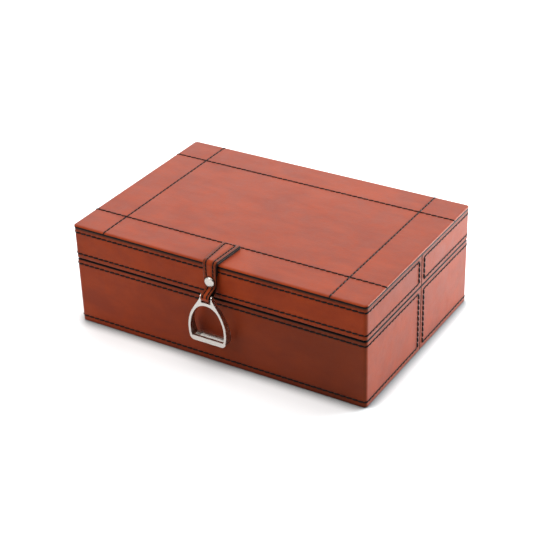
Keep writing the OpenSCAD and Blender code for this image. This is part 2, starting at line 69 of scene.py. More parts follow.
TOP_LOW, TOP_HIGH = cad_mm("lid_top_leather")
UNDERLAY_LOW, UNDERLAY_HIGH = cad_mm("lid_top_underlay")
BASE_RIM_LOW, BASE_RIM_HIGH = cad_mm("base_rim_band")
LID_RIM_LOW, LID_RIM_HIGH = cad_mm("lid_rim_band")
CAP_LOW, CAP_HIGH = cad_mm("rivet_cap")
PIN_LOW, PIN_HIGH = cad_mm("hinge_pin_right")
WRAP_LOW = cad_mm("base_leather_front")[0]
PULL_LOW = cad_mm("stirrup")[0]
ROOM_HIGH = cad_mm("base_lining_floor")[1]
LEAF_HIGH = cad_mm("hinge_leaf_base_right")[1]

# Distances from a stitched line at which the leather has points, across its channel
CHANNEL_STEPS = (-1.7, -1.05, -0.62, -0.3, 0, 0.3, 0.62, 1.05, 1.7)
# Clearance between a hinge leaf and its notch
NOTCH_GAP = 0.15
# Clearance between the eye bar and the strap's loop
BAR_GAP = 0.15
# How deep the painted shade on the base's front and back is at the right end, and the run over which it fades to the
# left
WALL_SHADE, SHADE_RUN = 0.46, 220.0


def length(name, text, mm):
    """A length property whose default is given in millimetres."""
    return FloatProperty(name=name, description=text, default=mm * MM, min=0.0, unit="LENGTH", precision=5)


def turn(name, text, degrees):
    """An angle property whose default is given in degrees."""
    return FloatProperty(name=name, description=text, default=math.radians(degrees), subtype="ANGLE")


def colour(name, text, rgb):
    """A colour property, in linear light."""
    return FloatVectorProperty(name=name, description=text, default=rgb, size=3, min=0.0, max=1.0, subtype="COLOR")


def plain(name, text, value):
    """A number without a unit."""
    return FloatProperty(name=name, description=text, default=value, min=0.0)


class BoxSizes(bpy.types.PropertyGroup):
    """Sizes of the leather panels"""

    width: length("Width", "Width over the top sheet", TOP_HIGH.x - TOP_LOW.x)
    depth: length("Depth", "Depth over the top sheet", TOP_HIGH.y - TOP_LOW.y)
    height: length("Height", "Height of the top sheet's face", TOP_HIGH.z)
    wall_x: length("Half wall width", "Half the width over the wall leather", BASE_RIM_HIGH.x)
    wall_y: length("Half wall depth", "Half the depth over the wall leather", BASE_RIM_HIGH.y)
    corner: length("Corner", "Radius of the upright corners", 3.4)
    wrap: length("Wall leather", "Thickness of the wall leather", 2.0)
    foot: length("Foot gap", "Height of the base leather's lower edge", WRAP_LOW.z)
    foot_soft: length("Foot rounding", "Radius of the base leather's lower edge", 0.9)
    edge_soft: length("Edge rounding", "Radius of the leather edges at the opening", 0.8)
    lip: length("Lip", "How far the wall leather covers the rim bands", 0.84)
    top_across: length("Top rounding in", "How far the top sheet's rounded edge reaches in", 3.0)
    top_down: length("Top rounding down", "How far the top sheet's rounded edge reaches down", 1.1)
    seam_y: length("Seam place", "How far the end seams lie behind the middle", 2.0)
    seam_gap: length("Seam gap", "Gap of the end seams", 0.4)
    seam_soft: length("Seam rounding", "Radius of the leather edges at the end seams", 0.6)


class StitchSizes(bpy.types.PropertyGroup):
    """Sizes of the stitching"""

    pitch: length("Pitch", "Length of one stitch", 5.85)
    thread: length("Thread", "Width of the thread", 1.42)
    slant: length("Slant", "How far a stitch leans to each side of its line", 0.55)
    rise: length("Rise", "Height of a stitch's middle over the leather", 0.1)
    channel: length("Channel depth", "Depth of the stitching channel", 0.36)
    channel_w: length("Channel width", "Half width of the stitching channel", 0.62)
    inset: length("Inset", "Distance of the stitching from the panel edges", 4.8)
    foot_line: length("Foot line", "Height of the base's lower stitching", 5.9)
    lid_inset: length("Lid inset", "Distance of the lid's lower stitching from the rim", 5.2)
    frame_side: length("Frame side", "Distance of the top's lines from the ends", 35.2)
    frame_front: length("Frame front", "Distance of the top's front line from the front edge", 36.2)
    frame_back: length("Frame back", "Distance of the top's back line from the back edge", 34.6)


class StrapSizes(bpy.types.PropertyGroup):
    """Sizes of the pull strap and its rivet"""

    layer: length("Layer", "Thickness of one layer of the strap", 1.8)
    reach: length("Reach", "How far the strap's end lies behind the front edge", 33.5)
    end_w: length("End width", "Width at the strap's end", 18.0)
    bend_w: length("Bend width", "Width at the front edge", 14.2)
    rivet_w: length("Rivet width", "Width at the rivet", 12.8)
    loop_w: length("Loop width", "Width of the loop", 9.2)
    pitch: length("Pitch", "Length of one stitch of the strap", 4.1)
    thread: length("Thread", "Width of the strap's thread", 1.3)
    slant: length("Slant", "How far a stitch of the strap leans to each side of its line", 0.22)
    rise: length("Rise", "Height of a stitch's middle over the strap", 0.02)
    end_line: length("End line", "Half the distance of the stitched lines at the strap's end", 5.5)
    bend_line: length("Bend line", "Half the distance of the stitched lines at the front edge", 3.85)
    rivet_line: length("Rivet line", "Half the distance of the stitched lines at the rivet", 3.3)
    loop_line: length("Loop line", "Half the distance of the stitched lines on the loop", 2.15)
    cross_line: length("Cross line", "Distance of the row across the strap from its end", 2.1)
    rivet_down: length("Rivet place", "How far below the top the strap has its rivet width", 18.0)
    loop_up: length("Loop place", "Height below which the strap has its loop width", 81.2)
    lining_up: length("Lining end", "Height of the lining's lower end", 92.3)
    tail_down: length("Tail", "How far below the top the loop's rear end stops", 11.0)
    bend_r: length("Bend radius", "Radius of the bend over the front edge", 3.9)


class StirrupSizes(bpy.types.PropertyGroup):
    """Sizes of the stirrup pull"""

    bar_out: length("Eye bar out", "Distance of the eye bar in front of the top sheet", 9.8)
    bar_up: length("Eye bar height", "Height of the eye bar's axis", 73.5)
    bar_r: length("Eye bar radius", "Radius of the eye bar", 1.9)
    half_w: length("Half width", "Half the width at the widest place", 19.7)
    branch_r: length("Branch curve", "Radius of the outer curve", 38.0)
    waist: length("Waist height", "Height of the widest place above the table", 40.0)
    branch_w: length("Branch width", "Width of the branches at the widest place", 2.1)
    tread_h: length("Tread height", "Height of the tread bars", 4.6)
    tread_d: length("Tread depth", "Depth over both tread bars", 9.2)
    bar_d: length("Tread bar depth", "Depth of one tread bar", 2.4)
    tread_end: length("Tread end", "Distance of the tread's opening from the widest place", 5.1)
    back_r: length("Rear curve", "Radius of the branches' rear edge", 138.0)
    ear_out: length("Ear outside", "Half the width over the ears of the eye", 5.95)
    ear_in: length("Ear inside", "Half the width between the ears of the eye", 4.9)
    eye_deep: length("Eye depth", "Depth of the eye below the bar", 5.5)
    neck: length("Neck", "Height of the neck under the eye", 2.7)
    soft: length("Edge rounding", "Radius of the polished edges", 0.42)


class HingeSizes(bpy.types.PropertyGroup):
    """Sizes of the hinges"""

    centre_x: length("Hinge place", "Distance of each hinge from the middle", (PIN_LOW.x + PIN_HIGH.x) / 2)
    long: length("Hinge length", "Length of each hinge", PIN_HIGH.x - PIN_LOW.x)
    axis_y: length("Axis depth", "Place of the hinge axis behind the middle", (PIN_LOW.y + PIN_HIGH.y) / 2)
    axis_z: length("Axis height", "Height of the hinge axis", (PIN_LOW.z + PIN_HIGH.z) / 2)
    knuckle: length("Knuckle radius", "Outer radius of the knuckles", LEAF_HIGH.y - (PIN_LOW.y + PIN_HIGH.y) / 2)
    leaf_d: length("Leaf depth", "Depth of a leaf across the wall", 7.5)
    leaf_t: length("Leaf thickness", "Thickness of a leaf", 1.2)
    space: length("Knuckle space", "Gap between two knuckles", 0.2)
    pin_r: length("Pin radius", "Radius of the hinge pins", 1.2)


class FinishColours(bpy.types.PropertyGroup):
    """Colours of the finishes"""

    leather_pale: colour("Leather pale", "Pale, orange clouds of the leather", (0.204, 0.0206, 0.0016))
    leather_deep: colour("Leather deep", "Deep, red clouds of the leather", (0.152, 0.0126, 0.0010))
    # Dark colour of the ink attribute: real stains and inked edges, and painted shade
    leather_ink_and_shade: colour("Leather ink", "Leather stained by thread wax and edge ink", (0.010, 0.0016, 0.0009))
    strap_pale: colour("Strap pale", "Pale clouds of the strap leather", (0.225, 0.0250, 0.0026))
    strap_deep: colour("Strap deep", "Deep clouds of the strap leather", (0.165, 0.0155, 0.0017))
    edge_ink: colour("Edge ink", "Inked and waxed leather edges", (0.0022, 0.0020, 0.0020))
    thread: colour("Thread", "Waxed thread", (0.0024, 0.0022, 0.0022))
    lining: colour("Lining", "Suede lining", (0.27, 0.165, 0.10))
    timber: colour("Timber", "Boards under the leather", (0.55, 0.36, 0.19))
    nickel: colour("Nickel", "Polished nickel", (0.53, 0.50, 0.465))
    hinge: colour("Hinge metal", "Satin metal of the hinges", (0.62, 0.58, 0.50))
    floor: colour("Floor", "Table under the box", (0.82, 0.82, 0.82))


class StageSettings(bpy.types.PropertyGroup):
    """Camera and lights"""

    place: FloatVectorProperty(
        name="Camera place", description="Place of the camera",
        default=(0.6173, -0.9951, 0.7203), size=3, subtype="TRANSLATION",
    )
    azimuth: turn("Azimuth", "How far the camera stands to the right of the front", 32.1426)
    elevation: turn("Elevation", "How far the camera looks down", 29.8688)
    roll: turn("Roll", "Tilt of the camera", -1.9563)
    lens: plain("Focal length", "Focal length on a 36 mm sensor, in millimetres", 97.1685)
    above_light: plain("Top light", "Power of the light above, in watts", 21.2)
    back_left_light: plain("Back left light", "Power of the light behind on the left, in watts", 13.8)
    back_right_light: plain("Back right light", "Power of the light behind on the right, in watts", 52.0)
    front_light: plain("Front light", "Power of the light in front on the left, in watts", 26.0)
    surround: plain("Surround", "Strength of the room's even light", 0.07)


GROUPS = {
    "box_sizes": BoxSizes,
    "stitch_sizes": StitchSizes,
    "strap_sizes": StrapSizes,
    "stirrup_sizes": StirrupSizes,
    "hinge_sizes": HingeSizes,
    "finish_colours": FinishColours,
    "stage_settings": StageSettings,
}


def sizes(scene, *words):
    """The groups of sizes that the words name, with their lengths in millimetres."""
    found = []
    for word in words:
        group = getattr(scene, f"{word}_sizes")
        found.append(SimpleNamespace(**{key: getattr(group, key) / MM for key in type(group).__annotations__}))
    return found


def finish_named(name):
    """A finished material by name. It stops the script if the finishes weren't made first."""
    if name not in bpy.data.materials:
        raise RuntimeError(f"make the finishes first: there is no finish named {name}")
    return bpy.data.materials[name]

# Meshes


class Shell:
    """Points in millimetres and the faces between them, gathered into one piece.
    Each point has an ink value, from 0 for clean leather to 1 for dark leather: real stains and inked edges, and
    painted shade."""

    def __init__(self):
        self.points, self.ink, self.faces, self.finish = [], [], [], []

    def point(self, place, ink=0.0):
        self.points.append((place[0] * MM, place[1] * MM, place[2] * MM))
        self.ink.append(ink)
        return len(self.points) - 1

    def face(self, corners, finish=0):
        self.faces.append(tuple(corners))
        self.finish.append(finish)

    def strip(self, rows, around=False, finish_at=None):
        """Faces between each row of points and the next. around joins each row's two ends."""
        for one, two in zip(rows, rows[1:]):
            count = len(one)
            for j in range(count if around else count - 1):
                k = (j + 1) % count
                self.face((one[j], one[k], two[k], two[j]), finish_at[j] if finish_at else 0)

    def bar(self, rows, finish_at=None, end_finish=0):
        """A solid whose sections are the rows, closed by a face at each end."""
        self.strip(rows, around=True, finish_at=finish_at)
        self.face(reversed(rows[0]), end_finish)
        self.face(rows[-1], end_finish)

    def add_mesh(self, bm):
        """Takes in a bmesh that is in millimetres."""
        base = len(self.points)
        bm.verts.index_update()
        for v in bm.verts:
            self.point(v.co)
        for f in bm.faces:
            self.face([base + v.index for v in f.verts])
        bm.free()

    def piece(self, name, finishes, body, slot, sharp=38.0):
        """Makes the object, which rides on a CAD body and stands for the CAD node of its name."""
        mesh = bpy.data.meshes.new(name)
        mesh.from_pydata(self.points, [], self.faces)
        for finish in finishes:
            mesh.materials.append(finish_named(finish))
        mesh.polygons.foreach_set("material_index", self.finish)
        mesh.attributes.new("ink", "FLOAT", "POINT").data.foreach_set("value", self.ink)
        bm = bmesh.new()
        bm.from_mesh(mesh)
        bmesh.ops.remove_doubles(bm, verts=bm.verts, dist=2e-6)
        bmesh.ops.dissolve_degenerate(bm, edges=bm.edges, dist=2e-6)
        bmesh.ops.recalc_face_normals(bm, faces=bm.faces)
        bm.to_mesh(mesh)
        bm.free()
        mesh.shade_smooth()
        mesh.set_sharp_from_angle(angle=math.radians(sharp))
        piece = bpy.data.objects.new(name, mesh)
        bpy.context.scene.collection.objects.link(piece)
        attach(piece, body)
        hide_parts(name)


def block(low, high, soft, segments=2):
    """A block with rounded edges, as a bmesh in millimetres."""
    bm = bmesh.new()
    bmesh.ops.create_cube(bm, size=1.0)
    size = [b - a for a, b in zip(low, high)]
    middle = [(a + b) / 2 for a, b in zip(low, high)]
    for v in bm.verts:
        v.co = Vector(m + c * s for m, c, s in zip(middle, v.co, size))
    bmesh.ops.bevel(bm, geom=bm.edges[:], offset=soft, segments=segments, profile=0.5, affect="EDGES")
    return bm


def turned(shell, centre, axis, profile, steps):
    """Adds a turned solid. profile is (distance along the axis, radius), from one end to the other."""
    along = Vector(axis)
    side = along.orthogonal().normalized()
    up = along.cross(side)
    angles = [2 * math.pi * k / steps for k in range(steps)]
    rows = []
    for far, radius in profile:
        middle = Vector(centre) + along * far
        if radius == 0:
            rows.append([shell.point(middle)] * steps)
        else:
            rows.append([shell.point(middle + (side * math.cos(a) + up * math.sin(a)) * radius) for a in angles])
    for one, two in zip(rows, rows[1:]):
        for k in range(steps):
            m = (k + 1) % steps
            shell.face(dict.fromkeys((one[k], one[m], two[m], two[k])))
    for row in (rows[0], rows[-1]):
        if len(set(row)) > 1:
            shell.face(row)


def spread(low, high, step):
    """Even places from low to high, at most step apart."""
    count = max(1, math.ceil((high - low) / step))
    return [low + (high - low) * k / count for k in range(count + 1)]


def tidy_places(places, low, high, least=0.06):
    """Sorted places between two ends, none closer together than least."""
    kept = []
    for p in sorted(places):
        if low - 1e-6 <= p <= high + 1e-6 and (not kept or p - kept[-1] > least):
            kept.append(p)
    return kept


def share(value):
    """The value, held between 0 and 1."""
    return max(0.0, min(1.0, value))


def dip(distance, half_width):
    """A smooth hollow: 1 at its middle and nearly 0 past its width."""
    return math.exp(-((distance / half_width) ** 2))


def rounded_off(from_edge, r):
    """How far a rounded edge has dropped at a distance from its end."""
    return r - math.sqrt(max(0.0, r**2 - (r - min(from_edge, r)) ** 2))


class PlanRun:
    """A path round the box in plan, counter-clockwise, made of straights and quarter turns."""

    def __init__(self, start):
        self.parts, self.length, self.end, self.bends = [], 0.0, Vector(start), []

    def straight(self, to):
        to = Vector(to)
        step = to - self.end
        self.parts.append(("straight", self.length, self.end.copy(), step.normalized(), 0.0))
        self.length += step.length
        self.end = to
        return self

    def corner(self, centre, radius, start):
        """A quarter turn round a centre, from an angle in degrees."""
        self.parts.append(("corner", self.length, Vector(centre), radius, math.radians(start)))
        self.bends.append((self.length, self.length + radius * math.pi / 2))
        self.length += radius * math.pi / 2
        a = math.radians(start + 90)
        self.end = Vector(centre) + Vector((math.cos(a), math.sin(a))) * radius

    def at(self, s):
        """The place at a distance along the path, and the direction out of the box."""
        part = next((p for p in reversed(self.parts) if p[1] <= s + 1e-9), self.parts[0])
        kind, begin, origin, way, start = part
        if kind == "straight":
            return origin + way * (s - begin), Vector((way.y, -way.x))
        a = start + (s - begin) / way
        out = Vector((math.cos(a), math.sin(a)))
        return origin + out * way, out

    def stops(self):
        """Places along a closed path, close together in its turns."""
        places = spread(0, self.length, 9.0) + [p for a, b in self.bends for p in spread(a, b, 0.5)]
        return tidy_places(places, 0, self.length - 0.5)


def half_round_walls(half_x, half_y, r, side, seam_y):
    """The path of one U-shaped wrap: side -1 goes round the front, and side 1 round the back."""
    run = PlanRun((side * half_x, seam_y))
    run.straight((side * half_x, side * (half_y - r)))
    run.corner((side * (half_x - r), side * (half_y - r)), r, 180 if side < 0 else 0)
    run.straight((-side * (half_x - r), side * half_y))
    run.corner((-side * (half_x - r), side * (half_y - r)), r, 270 if side < 0 else 90)
    return run.straight((-side * half_x, seam_y))


def round_walls(half_x, half_y, r):
    """The closed path round the whole box, from the middle of the left end."""
    run = half_round_walls(half_x, half_y, r, -1, 0.0)
    back = half_round_walls(half_x, half_y, r, 1, 0.0)
    for kind, begin, origin, way, start in back.parts:
        run.parts.append((kind, begin + run.length, origin, way, start))
    run.bends += [(a + run.length, b + run.length) for a, b in back.bends]
    run.length += back.length
    return run


def inset(place, out, depth, r):
    """A place at a depth behind the path. Past the corner's centre it goes on towards the inner corner."""
    if depth <= r or min(abs(out.x), abs(out.y)) < 1e-4:
        return place - out * depth
    inward = Vector((-math.copysign(1, out.x), -math.copysign(1, out.y)))
    return place - out * r + inward * (depth - r)


def hinge_notches(back_middle, hinge):
    """Where the two hinge leaves cut into a path, whose place behind the box's middle is given."""
    half = hinge.long / 2 + NOTCH_GAP
    return [(back_middle - x - half, back_middle - x + half) for x in (-hinge.centre_x, hinge.centre_x)]


def notched_places(places, notches, least):
    """The places with a step at each end of each notch, and none of the others closer to it than least."""
    for a, b in notches:
        places = [p for p in places if min(abs(p - a), abs(p - b)) > least] + [a - 0.01, a, b, b + 0.01]
    return sorted(places)


def in_notch(s, notches):
    return any(a - 1e-6 <= s <= b + 1e-6 for a, b in notches)


# Finishes


class Finish:
    """A node-built material, with short calls for its nodes."""

    def __init__(self, name):
        self.material = bpy.data.materials.new(name)
        self.material.use_nodes = True
        self.tree = self.material.node_tree
        self.tree.nodes.clear()
        self.shader = self.node("ShaderNodeBsdfPrincipled")
        surface = self.node("ShaderNodeOutputMaterial")
        self.tree.links.new(self.shader.outputs["BSDF"], surface.inputs["Surface"])
        self.place = self.node("ShaderNodeTexCoord").outputs["Object"]

    def node(self, kind, **settings):
        made = self.tree.nodes.new(kind)
        for name, value in settings.items():
            setattr(made, name, value)
        return made

    def put(self, value, socket):
        if isinstance(value, bpy.types.NodeSocket):
            self.tree.links.new(value, socket)
        elif hasattr(value, "__len__"):
            socket.default_value = (*value[:3], 1.0) if len(socket.default_value) == 4 else value
        else:
            socket.default_value = value

    def set(self, **values):
        """Sets the shader's own sockets, such as Roughness or Base_Color."""
        for name, value in values.items():
            self.put(value, self.shader.inputs[name.replace("_", " ")])

    def stretch(self, scale, turn=(0, 0, 0)):
        mapped = self.node("ShaderNodeMapping")
        self.put(self.place, mapped.inputs["Vector"])
        mapped.inputs["Scale"].default_value = scale
        mapped.inputs["Rotation"].default_value = [math.radians(a) for a in turn]
        return mapped.outputs["Vector"]

    def noise(self, scale, detail=3.0, rough=0.55, bend=0.0, place=None):
        made = self.node("ShaderNodeTexNoise")
        self.put(place or self.place, made.inputs["Vector"])
        for name, value in (("Scale", scale), ("Detail", detail), ("Roughness", rough), ("Distortion", bend)):
            made.inputs[name].default_value = value
        return made.outputs["Fac"]

    def cells(self, scale):
        made = self.node("ShaderNodeTexVoronoi", feature="SMOOTH_F1")
        self.put(self.place, made.inputs["Vector"])
        made.inputs["Scale"].default_value = scale
        return made.outputs["Distance"]

    def scaled(self, value, low, high, to_low, to_high):
        made = self.node("ShaderNodeMapRange", clamp=True)
        for socket, item in zip(made.inputs, (value, low, high, to_low, to_high)):
            self.put(item, socket)
        return made.outputs["Result"]

    def sum(self, one, two):
        made = self.node("ShaderNodeMath", operation="ADD")
        self.put(one, made.inputs[0])
        self.put(two, made.inputs[1])
        return made.outputs[0]

    def mix(self, amount, one, two, way="MIX"):
        made = self.node("ShaderNodeMix", data_type="RGBA", blend_type=way)
        self.put(amount, made.inputs[0])
        self.put(one, made.inputs[6])
        self.put(two, made.inputs[7])
        return made.outputs[2]

    def blend(self, value, low, high, one, two):
        """From colour one, where the value is low, to colour two, where it is high."""
        return self.mix(self.scaled(value, low, high, 0.0, 1.0), one, two)

    def attribute(self, name):
        return self.node("ShaderNodeAttribute", attribute_name=name).outputs["Fac"]

    def relief(self, *layers):
        """Bumps on bumps: each layer is (height, distance in millimetres, strength)."""
        normal = None
        for height, distance, strength in layers:
            made = self.node("ShaderNodeBump")
            self.put(height, made.inputs["Height"])
            made.inputs["Distance"].default_value = distance * MM
            made.inputs["Strength"].default_value = strength
            if normal is not None:
                self.put(normal, made.inputs["Normal"])
            normal = made.outputs["Normal"]
        self.put(normal, self.shader.inputs["Normal"])


def leather_finish(name, pale, deep, ink, smooth):
    """Hand-dyed leather: soft pale and deep clouds, creases, fine grain, and dark stains and painted shade where ink
    is 1.
    """
    f = Finish(name)
    clouds = f.noise(17.0, 2.5, 0.5, 0.7)
    patches = f.noise(62.0, 4.0, 0.6, 0.4)
    streaks = f.noise(30.0, 3.0, 0.6, 0.3, f.stretch((1.0, 3.2, 2.4), (0, 0, 24)))
    speck = f.noise(950.0, 3.0, 0.65)
    tone = f.sum(f.sum(clouds, patches), streaks)
    body = f.blend(tone, 1.22, 1.78, deep, pale)
    shade = f.scaled(speck, 0.3, 0.7, 0.86, 1.1)
    grained = f.mix(1.0, body, shade, "MULTIPLY")
    # ink holds real stains and inked edges, and painted shade
    darkening = f.attribute("ink")
    f.set(Base_Color=f.mix(darkening, grained, ink))
    f.set(Roughness=f.scaled(f.sum(patches, speck), 0.7, 1.3, smooth - 0.07, smooth + 0.08))
    f.set(Specular_IOR_Level=0.32, Specular_Tint=(1.0, 0.42, 0.19))
    f.set(Sheen_Weight=0.115, Sheen_Roughness=0.38, Sheen_Tint=(1.0, 0.86, 0.82))
    pebble = f.cells(1150.0)
    crease = f.noise(240.0, 4.0, 0.62, 0.5)
    f.relief((patches, 0.5, 0.22), (crease, 0.16, 0.35), (pebble, 0.09, 0.45), (speck, 0.05, 0.4))


def edge_finish(name, ink):
    """Inked and waxed leather edge: nearly black, with a soft uneven gloss."""
    f = Finish(name)
    wax = f.noise(420.0, 4.0, 0.6, 0.3)
    fibre = f.noise(160.0, 3.0, 0.6, 0.0, f.stretch((1.0, 1.0, 9.0)))
    f.set(Base_Color=f.blend(wax, 0.35, 0.75, ink, [c * 2.2 for c in ink]))
    f.set(Roughness=f.scaled(wax, 0.3, 0.7, 0.4, 0.56))
    f.set(Specular_IOR_Level=0.07)
    f.relief((fibre, 0.12, 0.35), (wax, 0.06, 0.35))


def thread_finish(name, tone):
    """Waxed linen thread: charcoal, a little paler on top of its twist."""
    f = Finish(name)
    hair = f.noise(2600.0, 3.0, 0.6)
    wax = f.noise(300.0, 2.0, 0.5)
    f.set(Base_Color=f.blend(hair, 0.3, 0.75, tone, [c * 2.4 for c in tone]))
    f.set(Roughness=f.scaled(wax, 0.3, 0.7, 0.42, 0.62))
    f.set(Specular_IOR_Level=0.08)
    f.relief((hair, 0.05, 0.6))


def suede_finish(name, tone):
    """Suede: a soft nap with brushed lighter and darker patches."""
    f = Finish(name)
    nap = f.noise(1900.0, 4.0, 0.7)
    brushed = f.noise(26.0, 3.0, 0.55, 0.2)
    base = f.blend(brushed, 0.3, 0.7, [c * 0.84 for c in tone], [c * 1.12 for c in tone])
    f.set(Base_Color=f.mix(1.0, base, f.scaled(nap, 0.3, 0.7, 0.74, 1.16), "MULTIPLY"))
    f.set(Roughness=f.scaled(nap, 0.3, 0.7, 0.82, 0.97))
    f.set(Specular_IOR_Level=0.2, Sheen_Weight=0.35, Sheen_Roughness=0.5)
    f.relief((brushed, 0.2, 0.12), (nap, 0.16, 0.6))


def timber_finish(name, tone):
    """Plain timber boards with a straight grain along the box."""
    f = Finish(name)
    rings = f.noise(26.0, 5.0, 0.62, 1.4, f.stretch((0.22, 3.0, 3.0)))
    pores = f.noise(520.0, 3.0, 0.6, 0.0, f.stretch((0.06, 1.0, 1.0)))
    base = f.blend(rings, 0.34, 0.68, [c * 0.66 for c in tone], tone)
    f.set(Base_Color=f.mix(1.0, base, f.scaled(pores, 0.3, 0.7, 0.82, 1.06), "MULTIPLY"))
    f.set(Roughness=f.scaled(pores, 0.3, 0.7, 0.5, 0.72))
    f.relief((rings, 0.12, 0.3), (pores, 0.06, 0.4))


def metal_finish(name, tone, smooth, streak):
    """Polished or satin metal with fine level buffing streaks."""
    f = Finish(name)
    buffed = f.noise(420.0, 4.0, 0.6, 0.0, f.stretch((0.10, 1.6, 5.0)))
    film = f.noise(75.0, 3.0, 0.55)
    f.set(Base_Color=f.blend(f.sum(film, buffed), 0.7, 1.3, [c * 0.93 for c in tone], tone))
    f.set(Metallic=1.0)
    f.set(Roughness=f.scaled(f.sum(buffed, film), 0.75, 1.25, smooth - streak, smooth + streak))
    f.relief((buffed, 0.02, 0.22), (film, 0.12, 0.05))


def floor_finish(name, tone):
    """Smooth pale table top, with a painted contact shadow where something stands close to it."""
    f = Finish(name)
    haze = f.noise(5.0, 3.0, 0.5)
    contact_shadow = f.node("ShaderNodeAmbientOcclusion", samples=12)
    contact_shadow.inputs["Distance"].default_value = 0.013
    clean = f.blend(haze, 0.3, 0.7, [c * 0.985 for c in tone], tone)
    f.set(Base_Color=f.blend(contact_shadow.outputs["AO"], 0.5, 0.97, [c * 0.3 for c in tone], clean))
    f.set(Roughness=f.scaled(haze, 0.3, 0.7, 0.55, 0.62))
    f.set(Specular_IOR_Level=0.15)


class LEATHERBOX_OT_finishes(bpy.types.Operator):
    """Makes the finishes: leather, edge ink, thread, suede, timber and metals"""

    bl_idname = "leatherbox.finishes"
    bl_label = "Make finishes"

    def execute(self, context):
        c = context.scene.finish_colours
        leather_finish("panel_hide", c.leather_pale, c.leather_deep, c.leather_ink_and_shade, 0.5)
        leather_finish("strap_hide", c.strap_pale, c.strap_deep, c.leather_ink_and_shade, 0.52)
        edge_finish("edge_ink", c.edge_ink)
        thread_finish("waxed_thread", c.thread)
        suede_finish("suede_lining", c.lining)
        timber_finish("board_timber", c.timber)
        metal_finish("polished_nickel", c.nickel, 0.28, 0.05)
        metal_finish("satin_metal", c.hinge, 0.3, 0.06)
        floor_finish("table_top", c.floor)
        return {"FINISHED"}


# Wall leather


def wrap_lines(body, box, sew):
    """Lower and upper edge of the leather of one body, as it shows, and its two stitch lines."""
    if body == "base":
        return box.foot, BASE_RIM_LOW.z + box.lip, sew.foot_line, BASE_RIM_HIGH.z - sew.inset
    high = UNDERLAY_LOW.z
    return LID_RIM_HIGH.z - box.lip, high, LID_RIM_LOW.z + sew.lid_inset, high - sew.inset


def line_holes(first, last, pitch):
    """Even stitch holes between two ends."""
    count = max(1, round((last - first) / pitch))
    return [first + (last - first) * k / count for k in range(count + 1)]


def wrap_run(side, box):
    """The path of a wrap round its half of the box, from end seam to end seam."""
    return half_round_walls(box.wall_x, box.wall_y, box.corner, side, box.seam_y + side * box.seam_gap / 2)


def wrap_profile(body, box, sew):
    """Section of a wrap, from its inner lower edge over its face to its inner upper edge: (depth, height)."""
    low, high, line_low, line_high = wrap_lines(body, box, sew)
    base = body == "base"
    low_r, high_r = (box.foot_soft, box.edge_soft) if base else (box.edge_soft, 0.5)
    quarter = [math.radians(a) for a in (0, 22, 45, 67, 90)]
    behind_rim = box.edge_soft + 0.08
    rows = [(box.wrap, low)] if base else [(box.wrap, LID_RIM_HIGH.z), (behind_rim, LID_RIM_HIGH.z)]
    rows += [(low_r * (1 - math.sin(a)), low + low_r * (1 - math.cos(a))) for a in quarter]
    heights = spread(low + low_r, high - high_r, 7.0)
    heights += [line + step for line in (line_low, line_high) for step in CHANNEL_STEPS]
    rows += [(0.0, z) for z in tidy_places(heights, low + low_r + 0.2, high - high_r - 0.2, 0.2)]
    rows += [(high_r * (1 - math.sin(a)), high - high_r * (1 - math.cos(a))) for a in reversed(quarter)]
    return rows + ([(behind_rim, BASE_RIM_LOW.z), (box.wrap, BASE_RIM_LOW.z)] if base else [(box.wrap, high)])


def wrap_places(run, holes, column, notches):
    """Places along a wrap: at its stitch holes, corners, end seams, stitched columns and hinge notches."""
    places = [h + d for h in holes for d in (-0.5, 0.0, 0.5, (holes[1] - holes[0]) / 2)]
    places += [p for a, b in run.bends for p in spread(a, b, 0.45)]
    for end, way in ((0.0, 1), (run.length, -1)):
        places += [end + way * d for d in (0.0, 0.12, 0.3, 0.6, 1.2, 2.5)]
        places += [end + way * (column + d) for d in (-1.6, -1.0, -0.6, -0.3, 0.0, 0.3, 0.6, 1.0, 1.6)]
    return notched_places(tidy_places(places, 0.0, run.length, 0.1), notches, 0.1)


def wrap_paint(profile, low, high, base):
    """Which faces round a wrap's section are inked edge (1) and which are hide (0)."""
    paint = []
    for (_, z0), (_, z1) in zip(profile, profile[1:] + profile[:1]):
        over_low, under_high = (z0 + z1) / 2 - low, high - (z0 + z1) / 2
        at_rim, at_far = (under_high, over_low) if base else (over_low, under_high)
        paint.append(1 if at_rim < 0.5 or at_far < 0.25 else 0)
    return paint


